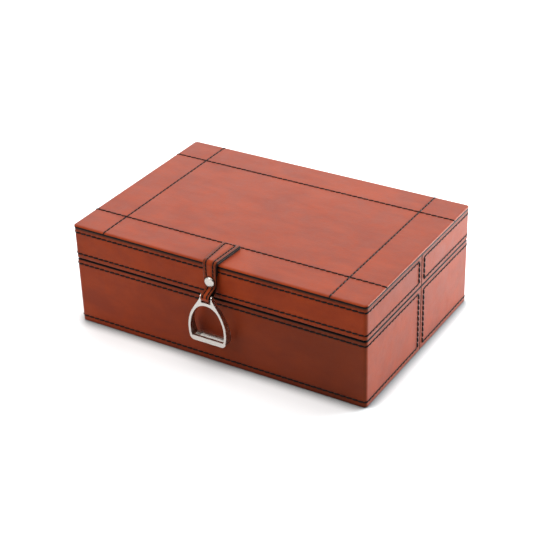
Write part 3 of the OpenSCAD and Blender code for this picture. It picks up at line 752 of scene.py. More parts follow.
def make_wrap(name, side, body, box, sew, hinge):
    """One U-shaped wrap with rounded edges, stitching channels and dimples at the stitch holes."""
    shell, run, base, column = Shell(), wrap_run(side, box), body == "base", sew.inset
    low, high, line_low, line_high = wrap_lines(body, box, sew)
    holes = line_holes(column, run.length - column, sew.pitch)
    notches = hinge_notches(run.length / 2, hinge) if side > 0 else []
    profile = wrap_profile(body, box, sew)
    rows = []
    for s in wrap_places(run, holes, column, notches):
        place, out = run.at(s)
        from_end = min(s, run.length - s)
        from_hole = min(abs(s - h) for h in holes)
        on_line = 1.0 if from_end > column - 0.3 else 0.0
        # Painted shade: the base's front and back get darker towards the right end
        darkening = WALL_SHADE * share(0.5 + place.x / SHADE_RUN) if base and abs(out.y) > 0.5 else 0.0
        row = []
        for depth, z in profile:
            ink = 0.0
            if low + 0.3 < z < high - 0.3 and depth < 1e-6:
                off = min(abs(z - line_low), abs(z - line_high))
                on_column = 1.0 if line_low - 0.4 < z < line_high + 0.4 else 0.0
                channel = max(dip(off, sew.channel_w) * on_line, dip(from_end - column, sew.channel_w) * on_column)
                dimple = 0.3 * dip(from_hole, 0.42) * dip(off, 0.34) * on_line
                depth = sew.channel * channel + dimple
                # Darker along the stitched lines: stain from the thread's wax, and painted shade in the sunk channel
                ink = 0.5 * max(dip(off, 0.9) * on_line, dip(from_end - column, 1.0) * on_column)
            from_edge = min(z - low, high - z, from_end)
            # Edges are inked; just under the top sheet the dark reaches further down, as painted shadow below the
            # underlay
            under_top = not base and high - z < from_edge + 1e-6
            edge_ink = math.exp(-max(from_edge - (0.5 if under_top else 0.2), 0.0) / 0.34)
            # Painted shade: the margins outside the stitched lines are a little darker
            margin_shade = 0.06 if z < line_low or z > line_high or from_end < column else 0.0
            ink = min(1.0, max(ink, edge_ink) + margin_shade + darkening)
            depth = min(box.wrap, depth + rounded_off(from_end, box.seam_soft))
            if in_notch(s, notches):
                z = min(z, BASE_RIM_LOW.z) if base else max(z, LID_RIM_HIGH.z)
            spot = place - out * depth
            row.append(shell.point((spot.x, spot.y, z), ink))
        rows.append(row)
    shell.bar(rows, wrap_paint(profile, low, high, base))
    shell.piece(name, ["panel_hide", "edge_ink"], body, "leather")


def sew_line(shell, path, holes, thread, slant, rise):
    """Stitches between each hole and the next. path gives the place and the direction out at a distance."""
    rings, around = 9, 10
    sink, taper, flat = 0.85, 0.45, 0.74
    twist, twist_turn = 0.07, 7.5
    angles = [2 * math.pi * j / around for j in range(around)]
    section = [(math.cos(a), math.sin(a) * flat, 3 * a) for a in angles]
    for a, b in zip(holes, holes[1:]):
        along = (path(b)[0] - path(a)[0]).normalized()
        side = along.cross(path((a + b) / 2)[1]).normalized()
        spine = []
        for k in range(rings):
            t = k / (rings - 1)
            from_middle = abs(2 * t - 1)
            place, out = path(a + (b - a) * (0.02 + 0.96 * t))
            place = place + out * (rise - sink * from_middle**5) + side * slant * (1 - 2 * t)
            spine.append((place, out, thread / 2 * (1 - taper * from_middle**6), t))
        rows = []
        for k, (place, out, size, t) in enumerate(spine):
            ahead = (spine[min(rings - 1, k + 1)][0] - spine[max(0, k - 1)][0]).normalized()
            wide = ahead.cross(out).normalized()
            tall = wide.cross(ahead)
            row = []
            for across, up, ply_turn in section:
                r = size * (1 + twist * math.cos(ply_turn + twist_turn * t))
                row.append(shell.point(place + (wide * across + tall * up) * r))
            rows.append(row)
        shell.bar(rows)


def make_wall_stitching(name, side, body, box, sew):
    """The two lines of stitches round one wrap and its columns at the end seams."""
    shell, run, column = Shell(), wrap_run(side, box), sew.inset
    _, _, line_low, line_high = wrap_lines(body, box, sew)
    bold, proud = sew.thread * 1.5, sew.rise + 0.12

    def spot(s, z):
        place, out = run.at(s)
        return Vector((place.x, place.y, z)), Vector((out.x, out.y, 0.0))

    for z in (line_low, line_high):
        holes = line_holes(column, run.length - column, sew.pitch)
        sew_line(shell, lambda s: spot(s, z), holes, sew.thread, sew.slant, sew.rise)
    for s in (column, run.length - column):
        sew_line(shell, lambda z: spot(s, z), line_holes(line_low, line_high, sew.pitch), bold, sew.slant, proud)
    shell.piece(name, ["waxed_thread"], body, "thread", sharp=70)


class LEATHERBOX_OT_wall_leather(bpy.types.Operator):
    """Makes the four leather wraps of base and lid"""

    bl_idname = "leatherbox.wall_leather"
    bl_label = "Wall leather"

    def execute(self, context):
        box, sew, hinge = sizes(context.scene, "box", "stitch", "hinge")
        for body in ("base", "lid"):
            make_wrap(f"{body}_leather_front", -1, body, box, sew, hinge)
            make_wrap(f"{body}_leather_back", 1, body, box, sew, hinge)
        return {"FINISHED"}


class LEATHERBOX_OT_wall_stitching(bpy.types.Operator):
    """Sews the four wraps"""

    bl_idname = "leatherbox.wall_stitching"
    bl_label = "Wall stitching"

    def execute(self, context):
        box, sew = sizes(context.scene, "box", "stitch")
        for body in ("base", "lid"):
            make_wall_stitching(f"{body}_thread_front", -1, body, box, sew)
            make_wall_stitching(f"{body}_thread_back", 1, body, box, sew)
        return {"FINISHED"}


# Top of the lid


class TopFace:
    """The top sheet's surface, unfolded: x and y run over the flat, round the soft edge and down its side."""

    def __init__(self, box, sew):
        self.top, self.across, self.down = TOP_HIGH.z, box.top_across, box.top_down
        self.r = box.corner + box.width / 2 - box.wall_x
        self.flat = self.r - self.across
        self.arc = math.hypot(self.across, self.down) * math.pi / 2 / math.sqrt(2)
        self.wall = TOP_HIGH.z - TOP_LOW.z - self.down
        self.turn = self.flat + self.arc + self.wall
        self.core = (box.width / 2 - self.r, box.depth / 2 - self.r)
        self.half = [core + self.turn for core in self.core]
        x = box.width / 2 - sew.frame_side
        self.lines = ((-x, x), (-box.depth / 2 + sew.frame_front, box.depth / 2 - sew.frame_back))

    def at(self, x, y):
        """The place of an unfolded point, and the direction out of the leather there."""
        cx, cy = (max(-core, min(core, c)) for core, c in zip(self.core, (x, y)))
        dx, dy = x - cx, y - cy
        far = max(abs(dx), abs(dy))
        if far < 1e-9:
            return Vector((x, y, self.top)), Vector((0, 0, 1))
        way = Vector((dx, dy, 0)).normalized()
        if far <= self.flat:
            return Vector((cx, cy, self.top)) + way * far, Vector((0, 0, 1))
        if far <= self.flat + self.arc:
            a = (far - self.flat) / self.arc * math.pi / 2
            sin, cos = math.sin(a), math.cos(a)
            place = Vector((cx, cy, self.top - self.down * (1 - cos))) + way * (self.flat + self.across * sin)
            return place, (way * sin / self.across + Vector((0, 0, cos / self.down))).normalized()
        drop = far - self.flat - self.arc
        return Vector((cx, cy, self.top - self.down - drop)) + way * self.r, way

    def grid(self, k):
        """Places across the unfolded sheet, along x (k is 0) or y (k is 1)."""
        core = self.core[k]
        rim = [self.flat * 0.5, self.flat] + [self.flat + self.arc * j / 8 for j in range(1, 9)] + [self.turn]
        places = spread(-core, core, 6.0) + [sign * (core + d) for sign in (-1, 1) for d in rim]
        places += [line + step for line in self.lines[k] for step in CHANNEL_STEPS]
        return tidy_places(places, -self.half[k], self.half[k], 0.04)


def make_top_sheet(face, sew):
    """The top sheet with its soft edge and the channels of the four stitched lines."""
    xs, ys = face.grid(0), face.grid(1)
    shell, rows = Shell(), []
    for y in ys:
        row = []
        for x in xs:
            place, out = face.at(x, y)
            off = min(abs(c - line) for c, lines in zip((x, y), face.lines) for line in lines)
            beyond = max(abs(x) - face.core[0], abs(y) - face.core[1])
            down_side = share((beyond - (face.turn - face.wall)) / face.wall)
            # Darker along the stitched lines: stain from the thread's wax, and painted shade in the sunk channel; the
            # sheet's inked side is dark
            ink = max(0.48 * dip(off, 0.9), down_side)
            row.append(shell.point(place - out * sew.channel * dip(off, sew.channel_w), ink))
        rows.append(row)
    inked = [1] * (len(xs) - 1)
    shell.strip(rows[:2], finish_at=inked)
    shell.strip(rows[1:-1], finish_at=[1] + [0] * (len(xs) - 3) + [1])
    shell.strip(rows[-2:], finish_at=inked)
    ring = rows[0][:] + [r[-1] for r in rows[1:]] + rows[-1][-2::-1] + [r[0] for r in rows[-2:0:-1]]
    inner = []
    for k in ring:
        x, y, _ = (c / MM for c in shell.points[k])
        inner.append(shell.point((x * 0.995, y * 0.993, TOP_LOW.z), 1.0))
    shell.strip([ring, inner], around=True, finish_at=[1] * len(ring))
    shell.face(inner, 1)
    shell.piece("lid_top_leather", ["panel_hide", "edge_ink"], "lid", "leather")


def make_underlay(box, r):
    """The sheet under the top leather, whose edge is inked and rounded."""
    low, high = UNDERLAY_LOW.z, UNDERLAY_HIGH.z
    run = round_walls(box.width / 2, box.depth / 2, r)
    half = (high - low) / 2 + 0.25
    slopes = [math.radians(a) for a in (-90, -60, -30, 0, 30, 60, 90)]
    edge = [(0.3 * (1 - math.cos(a)) + 0.02, high - half + half * math.sin(a)) for a in slopes]
    shell, rows = Shell(), []
    for s in run.stops():
        place, out = run.at(s)
        rows.append([shell.point((*(place - out * d), z)) for d, z in [(1.6, low), (0.36, low), *edge, (1.6, high)]])
    shell.strip(rows + [rows[0]])
    shell.face([row[0] for row in rows])
    shell.face([row[-1] for row in rows])
    shell.piece("lid_top_underlay", ["edge_ink"], "lid", "rim_leather")


def make_top_stitching(face, sew):
    """The four stitched lines of the top, sewn over its soft edges."""
    shell = Shell()

    def holes(half, crossings):
        ends = [-half + 0.15, *crossings, half - 0.15]
        return [h for a, b in zip(ends, ends[1:]) for h in line_holes(a, b, sew.pitch)[:-1]] + [ends[-1]]

    along_x, along_y = holes(face.half[0], face.lines[0]), holes(face.half[1], face.lines[1])
    for y in face.lines[1]:
        sew_line(shell, lambda s: face.at(s, y), along_x, sew.thread, sew.slant, sew.rise)
    for x in face.lines[0]:
        sew_line(shell, lambda s: face.at(x, s), along_y, sew.thread * 0.88, sew.slant * 0.5, sew.rise)
    shell.piece("lid_thread_top", ["waxed_thread"], "lid", "thread", sharp=70)


class LEATHERBOX_OT_top(bpy.types.Operator):
    """Makes the top sheet, its inked underlay and its stitching"""

    bl_idname = "leatherbox.top"
    bl_label = "Top of the lid"

    def execute(self, context):
        box, sew = sizes(context.scene, "box", "stitch")
        face = TopFace(box, sew)
        make_top_sheet(face, sew)
        make_underlay(box, face.r)
        make_top_stitching(face, sew)
        return {"FINISHED"}


# Rims, lining and boards


def make_rim_band(body, box, hinge):
    """The inked leather frame on the edge of the walls, with a notch for each hinge leaf."""
    low, high = cad_mm(f"{body}_rim_band")
    way, seat, face = (1, low.z, high.z) if body == "base" else (-1, high.z, low.z)
    broad, lip = box.wall_x - (ROOM_HIGH.x - 1.0), box.edge_soft + 0.16
    profile = [
        (broad, seat), (lip, seat), (lip, face - way * 0.45), (lip + 0.12, face - way * 0.15), (lip + 0.42, face),
        (broad - 0.3, face), (broad, face - way * 0.3),
    ]
    run = round_walls(box.wall_x, box.wall_y, box.corner)
    notches = hinge_notches(run.length * 3 / 4, hinge)
    shell, rows = Shell(), []
    for s in notched_places(run.stops(), notches, 0.2):
        place, out = run.at(s)
        least = hinge.leaf_d + NOTCH_GAP if in_notch(s, notches) else 0.0
        spots = [(inset(place, out, max(depth, least), box.corner), z) for depth, z in profile]
        rows.append([shell.point((*spot, z)) for spot, z in spots])
    shell.strip(rows + [rows[0]], around=True)
    shell.piece(f"{body}_rim_band", ["edge_ink"], body, "rim_leather")


class LEATHERBOX_OT_rims(bpy.types.Operator):
    """Makes the inked rim bands at the opening"""

    bl_idname = "leatherbox.rims"
    bl_label = "Rim bands"

    def execute(self, context):
        for body in ("base", "lid"):
            make_rim_band(body, *sizes(context.scene, "box", "hinge"))
        return {"FINISHED"}


def lined_panel(name, body, slot, soft):
    """A thin suede panel with softened edges, in the place of its CAD node."""
    shell = Shell()
    shell.add_mesh(block(*cad_mm(name), soft, 3))
    shell.piece(name, ["suede_lining"], body, slot, sharp=50)


class LEATHERBOX_OT_lining(bpy.types.Operator):
    """Makes the suede lining of base and lid, and the cover under the box"""

    bl_idname = "leatherbox.lining"
    bl_label = "Lining"

    def execute(self, context):
        for body, flat in (("base", "floor"), ("lid", "top")):
            for place in (flat, "front", "back", "left", "right"):
                lined_panel(f"{body}_lining_{place}", body, "lining", 0.3)
        lined_panel("underside_cover", "base", "underside", 0.45)
        return {"FINISHED"}


class LEATHERBOX_OT_boards(bpy.types.Operator):
    """Gives the boards their timber, and the screws and the rivet's inner pieces their metal"""

    bl_idname = "leatherbox.boards"
    bl_label = "Boards"

    def execute(self, context):
        kept = {
            "board": "board_timber", "screws": "satin_metal",
            "rivet_post": "polished_nickel", "washer": "polished_nickel",
        }
        for name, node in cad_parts.items():
            for part, finish in kept.items():
                if part in name:
                    node.data.materials.clear()
                    node.data.materials.append(finish_named(finish))
        return {"FINISHED"}


# Hinges


def make_leaf(name, body, side, box, hinge):
    """A hinge leaf let into the rim band, with its knuckles."""
    base = body == "base"
    low = BASE_RIM_LOW.z if base else LID_RIM_LOW.z
    high = low + hinge.leaf_t
    start = side * hinge.centre_x - hinge.long / 2
    knuckle = (hinge.long - 4 * hinge.space) / 5
    r, chamfer, step = hinge.knuckle, 0.3, 0.1
    near_end = [(0, r - chamfer), (step, r - step), (chamfer, r)]
    profile = near_end + [(knuckle - far, radius) for far, radius in reversed(near_end)]
    shell = Shell()
    shell.add_mesh(block((start, box.wall_y - hinge.leaf_d, low), (start + hinge.long, box.wall_y, high), 0.16))
    for k in range(0 if base else 1, 5, 2):
        x = start + k * (knuckle + hinge.space)
        neck_low, neck_high = (x, box.wall_y - 1.0, low + 0.01), (x + knuckle, hinge.axis_y - 0.5, high - 0.01)
        shell.add_mesh(block(neck_low, neck_high, 0.12))
        turned(shell, (x, hinge.axis_y, hinge.axis_z), (1, 0, 0), profile, 40)
    shell.piece(name, ["satin_metal"], body, "hinge_metal", sharp=40)


def make_pin(name, side, hinge):
    """A hinge pin with domed ends."""
    half, r = hinge.long / 2, hinge.pin_r
    near_end = [(-half, 0), (-half + 0.05, r * 0.6), (-half + 0.3, r * 0.96), (-half + 0.5, r)]
    profile = near_end + [(-far, radius) for far, radius in reversed(near_end)]
    shell = Shell()
    turned(shell, (side * hinge.centre_x, hinge.axis_y, hinge.axis_z), (1, 0, 0), profile, 28)
    shell.piece(name, ["satin_metal"], "base", "hinge_metal")


class LEATHERBOX_OT_hinges(bpy.types.Operator):
    """Makes the leaves and pins of both hinges"""

    bl_idname = "leatherbox.hinges"
    bl_label = "Hinges"

    def execute(self, context):
        box, hinge = sizes(context.scene, "box", "hinge")
        for side, word in ((-1, "left"), (1, "right")):
            make_leaf(f"hinge_leaf_base_{word}", "base", side, box, hinge)
            make_leaf(f"hinge_leaf_lid_{word}", "lid", side, box, hinge)
            make_pin(f"hinge_pin_{word}", side, hinge)
        return {"FINISHED"}


# Strap and rivet


class StrapLine:
    """The strap's outer surface seen from its side: places and directions along it, as (y, z) from the front edge."""

    def __init__(self, strap, pull, box):
        self.front = -box.depth / 2
        t, top = strap.layer, box.height + 2 * strap.layer
        face_y = -0.1 - 2 * t
        bar_y, bar_z = -pull.bar_out, pull.bar_up
        loop_r = pull.bar_r + BAR_GAP + t
        lean, back_lean = math.radians(20), math.radians(48)
        bend_r, out_r, back_r = strap.bend_r, 1.5, 1.0
        out_y = face_y - out_r
        out_z = bar_z + (loop_r + out_r + math.sin(lean) * (out_y - bar_y)) / math.cos(lean)
        back_y = -t - back_r
        back_z = bar_z + (math.sin(back_lean) * (back_y - bar_y) - (loop_r - back_r - t)) / math.cos(back_lean)
        self.spots = []
        self.line((strap.reach, top), (face_y + bend_r, top), (0, 1))
        self.bend((face_y + bend_r, top - bend_r), bend_r, 90, 180, 1)
        self.line((face_y, top - bend_r), (face_y, out_z), (-1, 0))
        self.bend((out_y, out_z), out_r, 0, -70, -1)
        self.bend((bar_y, bar_z), loop_r, 110, 318, 1)
        self.bend((back_y, back_z), back_r + t, -42, 0, 1)
        self.line((0, back_z), (0, box.height - strap.tail_down), (1, 0))
        kept, self.far = [self.spots[0]], [0.0]
        for spot in self.spots[1:]:
            step = math.dist(spot[:2], kept[-1][:2])
            if step > 0.05:
                kept.append(spot)
                self.far.append(self.far[-1] + step)
        self.spots = kept

    def line(self, one, two, out):
        """A straight stretch, whose outer side faces out."""
        count = max(1, math.ceil(math.dist(one, two) / 0.8))
        for k in range(count + 1):
            s = k / count
            self.spots.append((one[0] + (two[0] - one[0]) * s, one[1] + (two[1] - one[1]) * s, *out))

    def bend(self, centre, r, start, end, facing):
        """An arc between two angles. The outer side faces out of it (facing 1) or into it (facing -1)."""
        count = max(2, math.ceil(abs(end - start) / 8))
        for k in range(count + 1):
            a = math.radians(start + (end - start) * k / count)
            c, s = math.cos(a), math.sin(a)
            self.spots.append((centre[0] + r * c, centre[1] + r * s, facing * c, facing * s))

    def at(self, s):
        """(y, z, out y, out z) at a distance from the strap's end on the top. Its direction out has length 1."""
        s = max(0.0, min(self.far[-1] - 1e-6, s))
        k = next(i for i in range(len(self.far) - 1) if self.far[i + 1] > s)
        t = (s - self.far[k]) / (self.far[k + 1] - self.far[k])
        y, z, out_y, out_z = (a + (b - a) * t for a, b in zip(self.spots[k], self.spots[k + 1]))
        size = math.hypot(out_y, out_z)
        return y, z, out_y / size, out_z / size

    def spot(self, s, x):
        """A place on the outer surface and its direction out, in the box's frame."""
        y, z, out_y, out_z = self.at(s)
        return Vector((x, self.front + y, z)), Vector((0, out_y, out_z))

    def reach(self, y_below, z_below):
        """How far along the strap it first lies in front of and below these."""
        return next(f for f, (y, z, _, _) in zip(self.far, self.spots) if y < y_below and z < z_below)


def between(pairs, s):
    """A value on the straight lines between given (distance, value) pairs."""
    if s <= pairs[0][0]:
        return pairs[0][1]
    for (a, va), (b, vb) in zip(pairs, pairs[1:]):
        if s <= b:
            return va + (vb - va) * (s - a) / (b - a)
    return pairs[-1][1]


def strap_widths(line, strap, box):
    """Half width of the strap, and half the distance of its stitched lines, along it."""
    rivet, loop = line.reach(-2, box.height - strap.rivet_down), line.reach(-3.8, strap.loop_up)
    fars = (0, line.reach(0.1, math.inf), rivet, loop)
    halves = (strap.end_w / 2, strap.bend_w / 2, strap.rivet_w / 2, strap.loop_w / 2)
    sewn = (strap.end_line, strap.bend_line, strap.rivet_line, strap.loop_line)

    def soft(values):
        pairs = list(zip(fars, values))
        return lambda s: sum(between(pairs, s + d) for d in (-2.4, -1.2, 0, 1.2, 2.4)) / 5
    return soft(halves), soft(sewn)


def make_strap_layer(name, line, half, sewn, thick, end, under, sewn_to):
    """One leather layer of the strap with rounded, inked edges. under is its depth below the outer surface."""
    shell, rows = Shell(), []
    cap_r, cap_z = (CAP_HIGH.x - CAP_LOW.x) / 2, (CAP_HIGH.z + CAP_LOW.z) / 2
    soft = 0.35
    for s in tidy_places([0.0, 0.12, soft, end - 0.12, end - soft, end, *line.far], 0.0, end, 0.08):
        if s > end:
            continue
        y, z, out_y, out_z = line.at(s)
        from_end = min(s, end - s)
        drop = rounded_off(from_end, soft)
        w, q = half(s) - drop, sewn(s)
        grooved = 1.0 if s < sewn_to else 0.0
        section = [(-w, 0.5, 1), (-w + 0.12, 0.2, 1), (-w + 0.42, 0.03, 0.7)]
        # Darker along the stitched lines: stain from the thread's wax, and painted shade in the sunk groove
        for d in (-0.75, -0.4, 0.0, 0.4, 0.75):
            section.append((d - q, grooved * 0.34 * dip(d, 0.6) - 0.05, grooved * 0.85 * dip(d, 0.8)))
        section.append((0.0, -0.1, 0.0))
        section += [(-x, depth, ink) for x, depth, ink in reversed(section[:-1])]
        section += [(w, thick - soft, 1), (w - 0.3, thick, 1), (-w + 0.3, thick, 1), (-w, thick - soft, 1)]
        row = []
        for x, depth, ink in section:
            depth = under + (max(depth, drop) if depth < thick / 2 else min(depth, thick - drop))
            # Painted contact shadow: a dark ring on the strap round the rivet cap
            cap_shadow = dip(max(0.0, math.hypot(x, z - cap_z) - cap_r), 0.7) if y < 0 else 0.0
            ink = max(ink, 0.8 * dip(from_end, 0.5), cap_shadow)
            row.append(shell.point((x, line.front + y - out_y * depth, z - out_z * depth), ink))
        rows.append(row)
    # The faces on both upper edges, the right side, the underside and the left lower edge are inked
    shell.bar(rows, [1 if j in (0, 15, 16, 18, 19) else 0 for j in range(len(rows[0]))], 1)
    shell.piece(name, ["strap_hide", "edge_ink"], "lid", "strap_leather", sharp=50)


class LEATHERBOX_OT_strap(bpy.types.Operator):
    """Makes the pull strap: face with its loop, lining and stitching"""

    bl_idname = "leatherbox.strap"
    bl_label = "Pull strap"

    def execute(self, context):
        box, strap, pull = sizes(context.scene, "box", "strap", "stirrup")
        line = StrapLine(strap, pull, box)
        half, sewn = strap_widths(line, strap, box)
        loop_end = line.reach(-pull.bar_out, pull.bar_up)
        lining_end = line.reach(-2, strap.lining_up)
        make_strap_layer("strap_face", line, half, sewn, strap.layer, line.far[-1], 0.0, loop_end)
        make_strap_layer("strap_lining", line, half, sewn, strap.layer, lining_end, strap.layer, 0.0)
        shell = Shell()

        def sew(path, start, end):
            sew_line(shell, path, line_holes(start, end, strap.pitch), strap.thread, strap.slant, strap.rise)

        over_cap, under_cap = line.reach(-2, CAP_HIGH.z + 0.3), line.reach(-2, CAP_LOW.z + 0.3)
        for sign in (-1, 1):
            for start, end in ((strap.cross_line, over_cap), (under_cap, loop_end)):
                sew(lambda s: line.spot(s, sign * sewn(s)), start, end)
        corner = sewn(strap.cross_line)
        sew(lambda x: line.spot(strap.cross_line, x), -corner, corner)
        shell.piece("strap_thread", ["waxed_thread"], "lid", "thread", sharp=70)
        return {"FINISHED"}


class LEATHERBOX_OT_rivet(bpy.types.Operator):
    """Makes the domed rivet cap on the strap"""

    bl_idname = "leatherbox.rivet"
    bl_label = "Rivet"

    def execute(self, context):
        r, rise, rim = (CAP_HIGH.x - CAP_LOW.x) / 2, CAP_HIGH.y - CAP_LOW.y, 0.72
        profile = [(-0.12, r * 0.9), (0.05, r * 0.965), (0.3, r * 0.995), (0.5, r), (rim, r * 0.975)]
        dome = ((0.42, 0.962), (0.68, 0.93), (0.82, 0.87), (0.9, 0.76), (0.95, 0.6), (0.985, 0.36), (1.0, 0.0))
        profile += [(rim + (rise - rim) * up, r * wide) for up, wide in dome]
        centre = ((CAP_LOW.x + CAP_HIGH.x) / 2, CAP_HIGH.y, (CAP_LOW.z + CAP_HIGH.z) / 2)
        shell = Shell()
        turned(shell, centre, (0, -1, 0), profile, 48)
        shell.piece("rivet_cap", ["polished_nickel"], "lid", "polished_metal")
        return {"FINISHED"}


# Stirrup


def stirrup_levels(pull, eye_r):
    """The stirrup's foot, window, neck and ears, each as levels: (height, inner half width, outer half width)."""
    low = PULL_LOW.z
    tread, eye_low = low + pull.tread_h, pull.bar_up - pull.eye_deep
    centre_x, arch_top = pull.half_w - pull.branch_r, eye_low - pull.neck
    lean = math.radians(33)
    lean_x, lean_z = centre_x + pull.branch_r * math.cos(lean), pull.waist + pull.branch_r * math.sin(lean)
    ears_z = lean_z + (lean_x - pull.ear_out) / math.tan(lean)

    def outer(z):
        if z > ears_z:
            return pull.ear_out
        if z > lean_z:
            return lean_x - (z - lean_z) * math.tan(lean)
        return centre_x + math.sqrt(pull.branch_r**2 - (z - pull.waist) ** 2)

    side_r = pull.branch_r - pull.branch_w - 2
    side_x = pull.half_w - pull.branch_w - side_r
    rise = arch_top - pull.waist
    arch_r = (side_r**2 - side_x**2 - rise**2) / (2 * (side_r - rise))
    arch_z = arch_top - arch_r
    meet = math.atan2(arch_z - pull.waist, -side_x)
    foot = [(low, 0.0, outer(tread) - pull.tread_h), (tread, 0.0, outer(tread))]
    window = []
    for z in spread(tread, arch_z + arch_r * math.sin(meet), 1.7):
        window.append((z, side_x + math.sqrt(side_r**2 - (z - pull.waist) ** 2), outer(z)))
    for k in range(1, 15):
        a = meet + (math.pi / 2 - meet) * k / 14
        z = arch_z + arch_r * math.sin(a)
        window.append((z, arch_r * math.cos(a) if k < 14 else 0.0, outer(z)))
    neck = [(z, 0.0, outer(z)) for z in (arch_top, eye_low)]
    ears = [(z, pull.ear_in, outer(z)) for z in (eye_low, (eye_low + pull.bar_up) / 2, pull.bar_up)]
    for a in (15, 30, 45, 60, 75, 90):
        ears.append((pull.bar_up + eye_r * math.sin(math.radians(a)), pull.ear_in, pull.ear_out))
    return foot, window, neck, ears


class StirrupMesh:
    """Faces of the stirrup between its front and rear surface. Both are given by their depth at each height."""

    def __init__(self, near_y, far_y):
        self.bm, self.made, self.near_y, self.far_y = bmesh.new(), {}, near_y, far_y

    def vert(self, x, z, rear):
        key = (round(x, 4), round(z, 4), rear)
        if key not in self.made:
            self.made[key] = self.bm.verts.new((x, self.far_y(z) if rear else self.near_y(z), z))
        return self.made[key]

    def face(self, *verts):
        verts = list(dict.fromkeys(verts))
        if len(verts) > 2 and self.bm.faces.get(verts) is None:
            self.bm.faces.new(verts)

    def both(self, points):
        """The same face on the front and on the rear surface."""
        for rear in (False, True):
            self.face(*(self.vert(x, z, rear) for x, z in points))

    def wall(self, x0, z0, x1, z1):
        """A face from the front to the rear surface."""
        self.face(*(self.vert(x, z, rear) for x, z, rear in ((x0, z0, 0), (x1, z1, 0), (x1, z1, 1), (x0, z0, 1))))

    def between_rings(self, one, two):
        """Faces between two loops of four points."""
        for k in range(4):
            m = (k + 1) % 4
            self.face(one[k], one[m], two[m], two[k])


def make_stirrup(pull, box):
    """The cast stirrup: two branches, neck and ears, an open tread of two bars, and the eye bar."""
    eye_r = pull.bar_r + 0.2
    foot, window, neck, ears = stirrup_levels(pull, eye_r)
    (low, _, foot_x), (tread, _, out_x) = foot
    (arch_z, _, arch_x), (eye_low, _, neck_x) = neck
    in_x, ear_in = window[0][1], pull.ear_in
    bar_y = -box.depth / 2 - pull.bar_out
    flat_y = bar_y - eye_r - 0.5
    deep_y = flat_y + pull.tread_d

    def round_eye(z):
        return math.sqrt(max(0.0, eye_r**2 - (z - pull.bar_up) ** 2))

    def near_y(z):
        return bar_y - round_eye(z) if z > pull.bar_up else flat_y + 0.5 * share((z - tread) / (eye_low - tread))

    def far_y(z):
        if z > pull.bar_up:
            return bar_y + round_eye(z)
        return min(deep_y, bar_y + eye_r + pull.back_r - math.sqrt(pull.back_r**2 - max(0.0, eye_low - z) ** 2))

    mesh = StirrupMesh(near_y, far_y)
    slopes = [math.radians(a) for a in (0, 15, 30, 45, 60, 75, 90)]
    heel = [(foot_x + (out_x - foot_x) * math.sin(a), tread - (tread - low) * math.cos(a)) for a in slopes]
    mesh.both(heel + [(in_x, tread), (-in_x, tread)] + [(-x, z) for x, z in reversed(heel)])
    for sign in (-1, 1):
        for (x0, z0), (x1, z1) in zip(heel, heel[1:]):
            mesh.wall(sign * x0, z0, sign * x1, z1)
        for levels in (window, ears):
            for (z0, in0, out0), (z1, in1, out1) in zip(levels, levels[1:]):
                mesh.both([(sign * in0, z0), (sign * out0, z0), (sign * out1, z1), (sign * in1, z1)])
                mesh.wall(sign * in0, z0, sign * in1, z1)
                mesh.wall(sign * out0, z0, sign * out1, z1)
        mesh.wall(sign * arch_x, arch_z, sign * neck_x, eye_low)
    arch, neck_top = [(-arch_x, arch_z), (0.0, arch_z), (arch_x, arch_z)], (neck_x, ear_in, -ear_in, -neck_x)
    mesh.both(arch + [(x, eye_low) for x in neck_top])
    mesh.wall(-ear_in, eye_low, ear_in, eye_low)

    # The tread is open between its two bars
    slot_x, slot_near, slot_far = pull.half_w - pull.tread_end, flat_y + pull.bar_d, deep_y - pull.bar_d
    slot = ((-slot_x, slot_near), (slot_x, slot_near), (slot_x, slot_far), (-slot_x, slot_far))
    rings = []
    for z, half in ((low, foot_x), (tread, in_x)):
        rings.append([mesh.bm.verts.new((x, y, z)) for x, y in slot])
        rim = [mesh.vert(x, z, rear) for x, rear in ((-half, 0), (half, 0), (half, 1), (-half, 1))]
        mesh.between_rings(rim, rings[-1])
    mesh.between_rings(*rings)
    bm = mesh.bm
    bmesh.ops.remove_doubles(bm, verts=bm.verts, dist=1e-4)
    bmesh.ops.dissolve_degenerate(bm, edges=bm.edges, dist=1e-4)
    bmesh.ops.recalc_face_normals(bm, faces=bm.faces)
    sharp = [e for e in bm.edges if len(e.link_faces) == 2 and e.calc_face_angle(0) > math.radians(28)]
    bmesh.ops.bevel(bm, geom=sharp, offset=pull.soft, segments=3, profile=0.55, affect="EDGES", clamp_overlap=True)
    shell = Shell()
    shell.add_mesh(bm)
    reach, r = ear_in + 0.55, pull.bar_r
    turned(shell, (0, bar_y, pull.bar_up), (1, 0, 0), [(-reach, 0), (-reach, r), (reach, r), (reach, 0)], 36)
    shell.piece("stirrup", ["polished_nickel"], "stirrup", "polished_metal", sharp=42)


class LEATHERBOX_OT_stirrup(bpy.types.Operator):
    """Makes the polished stirrup pull"""

    bl_idname = "leatherbox.stirrup"
    bl_label = "Stirrup pull"

    def execute(self, context):
        make_stirrup(*sizes(context.scene, "stirrup", "box"))
        return {"FINISHED"}


# Stage

# Soft lights: place, point that they face and size in metres, and tint
LIGHTS = {
    "above": ((0.1, 0.1, 1.5), (0.0, 0.0, 0.05), (1.2, 1.2), (1, 1, 1)),
    "back_left": ((-0.6, 0.95, 0.74), (0.0, 0.0, 0.08), (1.6, 1.1), (1, 1, 1)),
    "back_right": ((0.70, 1.02, 0.32), (0.12, 0.0, 0.03), (1.0, 0.56), (0.9, 1.0, 1.04)),
    "front": ((-0.75, -1.0, 1.15), (0.0, -0.1, 0.0), (1.3, 1.0), (1, 1, 1)),
}
TABLE_R = 6.0


def placed(name, data):
    """A new object in the scene, turned by a quaternion."""
    made = bpy.data.objects.new(name, data)
    made.rotation_mode = "QUATERNION"
    bpy.context.scene.collection.objects.link(made)
    return made


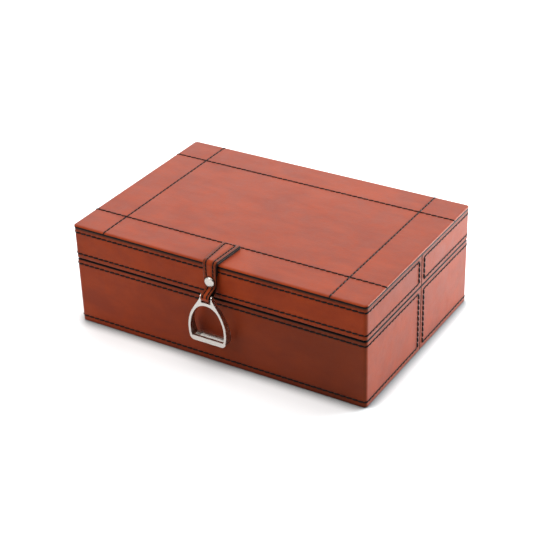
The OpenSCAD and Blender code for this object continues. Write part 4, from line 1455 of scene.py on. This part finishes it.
class LEATHERBOX_OT_stage(bpy.types.Operator):
    """Makes the table, the soft lights and the camera"""

    bl_idname = "leatherbox.stage"
    bl_label = "Stage"

    def execute(self, context):
        scene, s = context.scene, context.scene.stage_settings
        bm = bmesh.new()
        bmesh.ops.create_circle(bm, cap_ends=True, segments=96, radius=TABLE_R)
        mesh = bpy.data.meshes.new("table")
        bm.to_mesh(mesh)
        bm.free()
        mesh.materials.append(finish_named("table_top"))
        table = placed("table", mesh)
        for name, (place, aim, size, tint) in LIGHTS.items():
            data = bpy.data.lights.new(f"light_{name}", "AREA")
            data.shape, data.size, data.size_y = "RECTANGLE", *size
            data.energy, data.color = getattr(s, f"{name}_light"), tint
            light = placed(f"light_{name}", data)
            light.location = place
            light.rotation_quaternion = (Vector(aim) - Vector(place)).to_track_quat("-Z", "Y")
        world = bpy.data.worlds.new("room")
        world.use_nodes = True
        air = world.node_tree.nodes["Background"]
        air.inputs["Color"].default_value = (1, 1, 1, 1)
        air.inputs["Strength"].default_value = s.surround
        scene.world = world
        scene.view_settings.view_transform = "Standard"
        data = bpy.data.cameras.new("camera")
        data.sensor_width, data.lens = 36.0, s.lens
        data.clip_start, data.clip_end = 0.05, 30.0
        camera = placed("camera", data)
        level = math.cos(s.elevation)
        ahead = Vector((-math.sin(s.azimuth) * level, math.cos(s.azimuth) * level, -math.sin(s.elevation)))
        right = Vector((math.cos(s.azimuth), math.sin(s.azimuth), 0.0))
        up = right.cross(ahead)
        tilted = right * math.cos(s.roll) + up * math.sin(s.roll)
        lifted = up * math.cos(s.roll) - right * math.sin(s.roll)
        camera.rotation_quaternion = Matrix((tilted, lifted, -ahead)).transposed().to_quaternion()
        camera.location = s.place
        scene.camera = camera
        return {"FINISHED"}


class LEATHERBOX_PT_panel(bpy.types.Panel):
    """Lists the sizes, the colours and the makers of the pieces"""

    bl_idname = "LEATHERBOX_PT_panel"
    bl_label = "Leather box"
    bl_space_type = "VIEW_3D"
    bl_region_type = "UI"
    bl_category = "Leather box"

    def draw(self, context):
        for name, group in GROUPS.items():
            box = self.layout.box()
            box.label(text=group.__doc__)
            for key in group.__annotations__:
                box.prop(getattr(context.scene, name), key)
        for maker in MAKERS:
            self.layout.operator(maker.bl_idname)


# In the order in which main calls them
MAKERS = (
    LEATHERBOX_OT_finishes,
    LEATHERBOX_OT_wall_leather,
    LEATHERBOX_OT_wall_stitching,
    LEATHERBOX_OT_top,
    LEATHERBOX_OT_rims,
    LEATHERBOX_OT_lining,
    LEATHERBOX_OT_boards,
    LEATHERBOX_OT_hinges,
    LEATHERBOX_OT_strap,
    LEATHERBOX_OT_rivet,
    LEATHERBOX_OT_stirrup,
    LEATHERBOX_OT_stage,
)
CLASSES = (*GROUPS.values(), *MAKERS, LEATHERBOX_PT_panel)


def register():
    for cls in CLASSES:
        bpy.utils.register_class(cls)
    for name, group in GROUPS.items():
        setattr(bpy.types.Scene, name, PointerProperty(type=group))


def unregister():
    for name in GROUPS:
        delattr(bpy.types.Scene, name)
    for cls in reversed(CLASSES):
        bpy.utils.unregister_class(cls)


def main():
    register()
    bpy.ops.leatherbox.finishes()
    bpy.ops.leatherbox.wall_leather()
    bpy.ops.leatherbox.wall_stitching()
    bpy.ops.leatherbox.top()
    bpy.ops.leatherbox.rims()
    bpy.ops.leatherbox.lining()
    bpy.ops.leatherbox.boards()
    bpy.ops.leatherbox.hinges()
    bpy.ops.leatherbox.strap()
    bpy.ops.leatherbox.rivet()
    bpy.ops.leatherbox.stirrup()
    bpy.ops.leatherbox.stage()


if __name__ == "__main__":
    main()
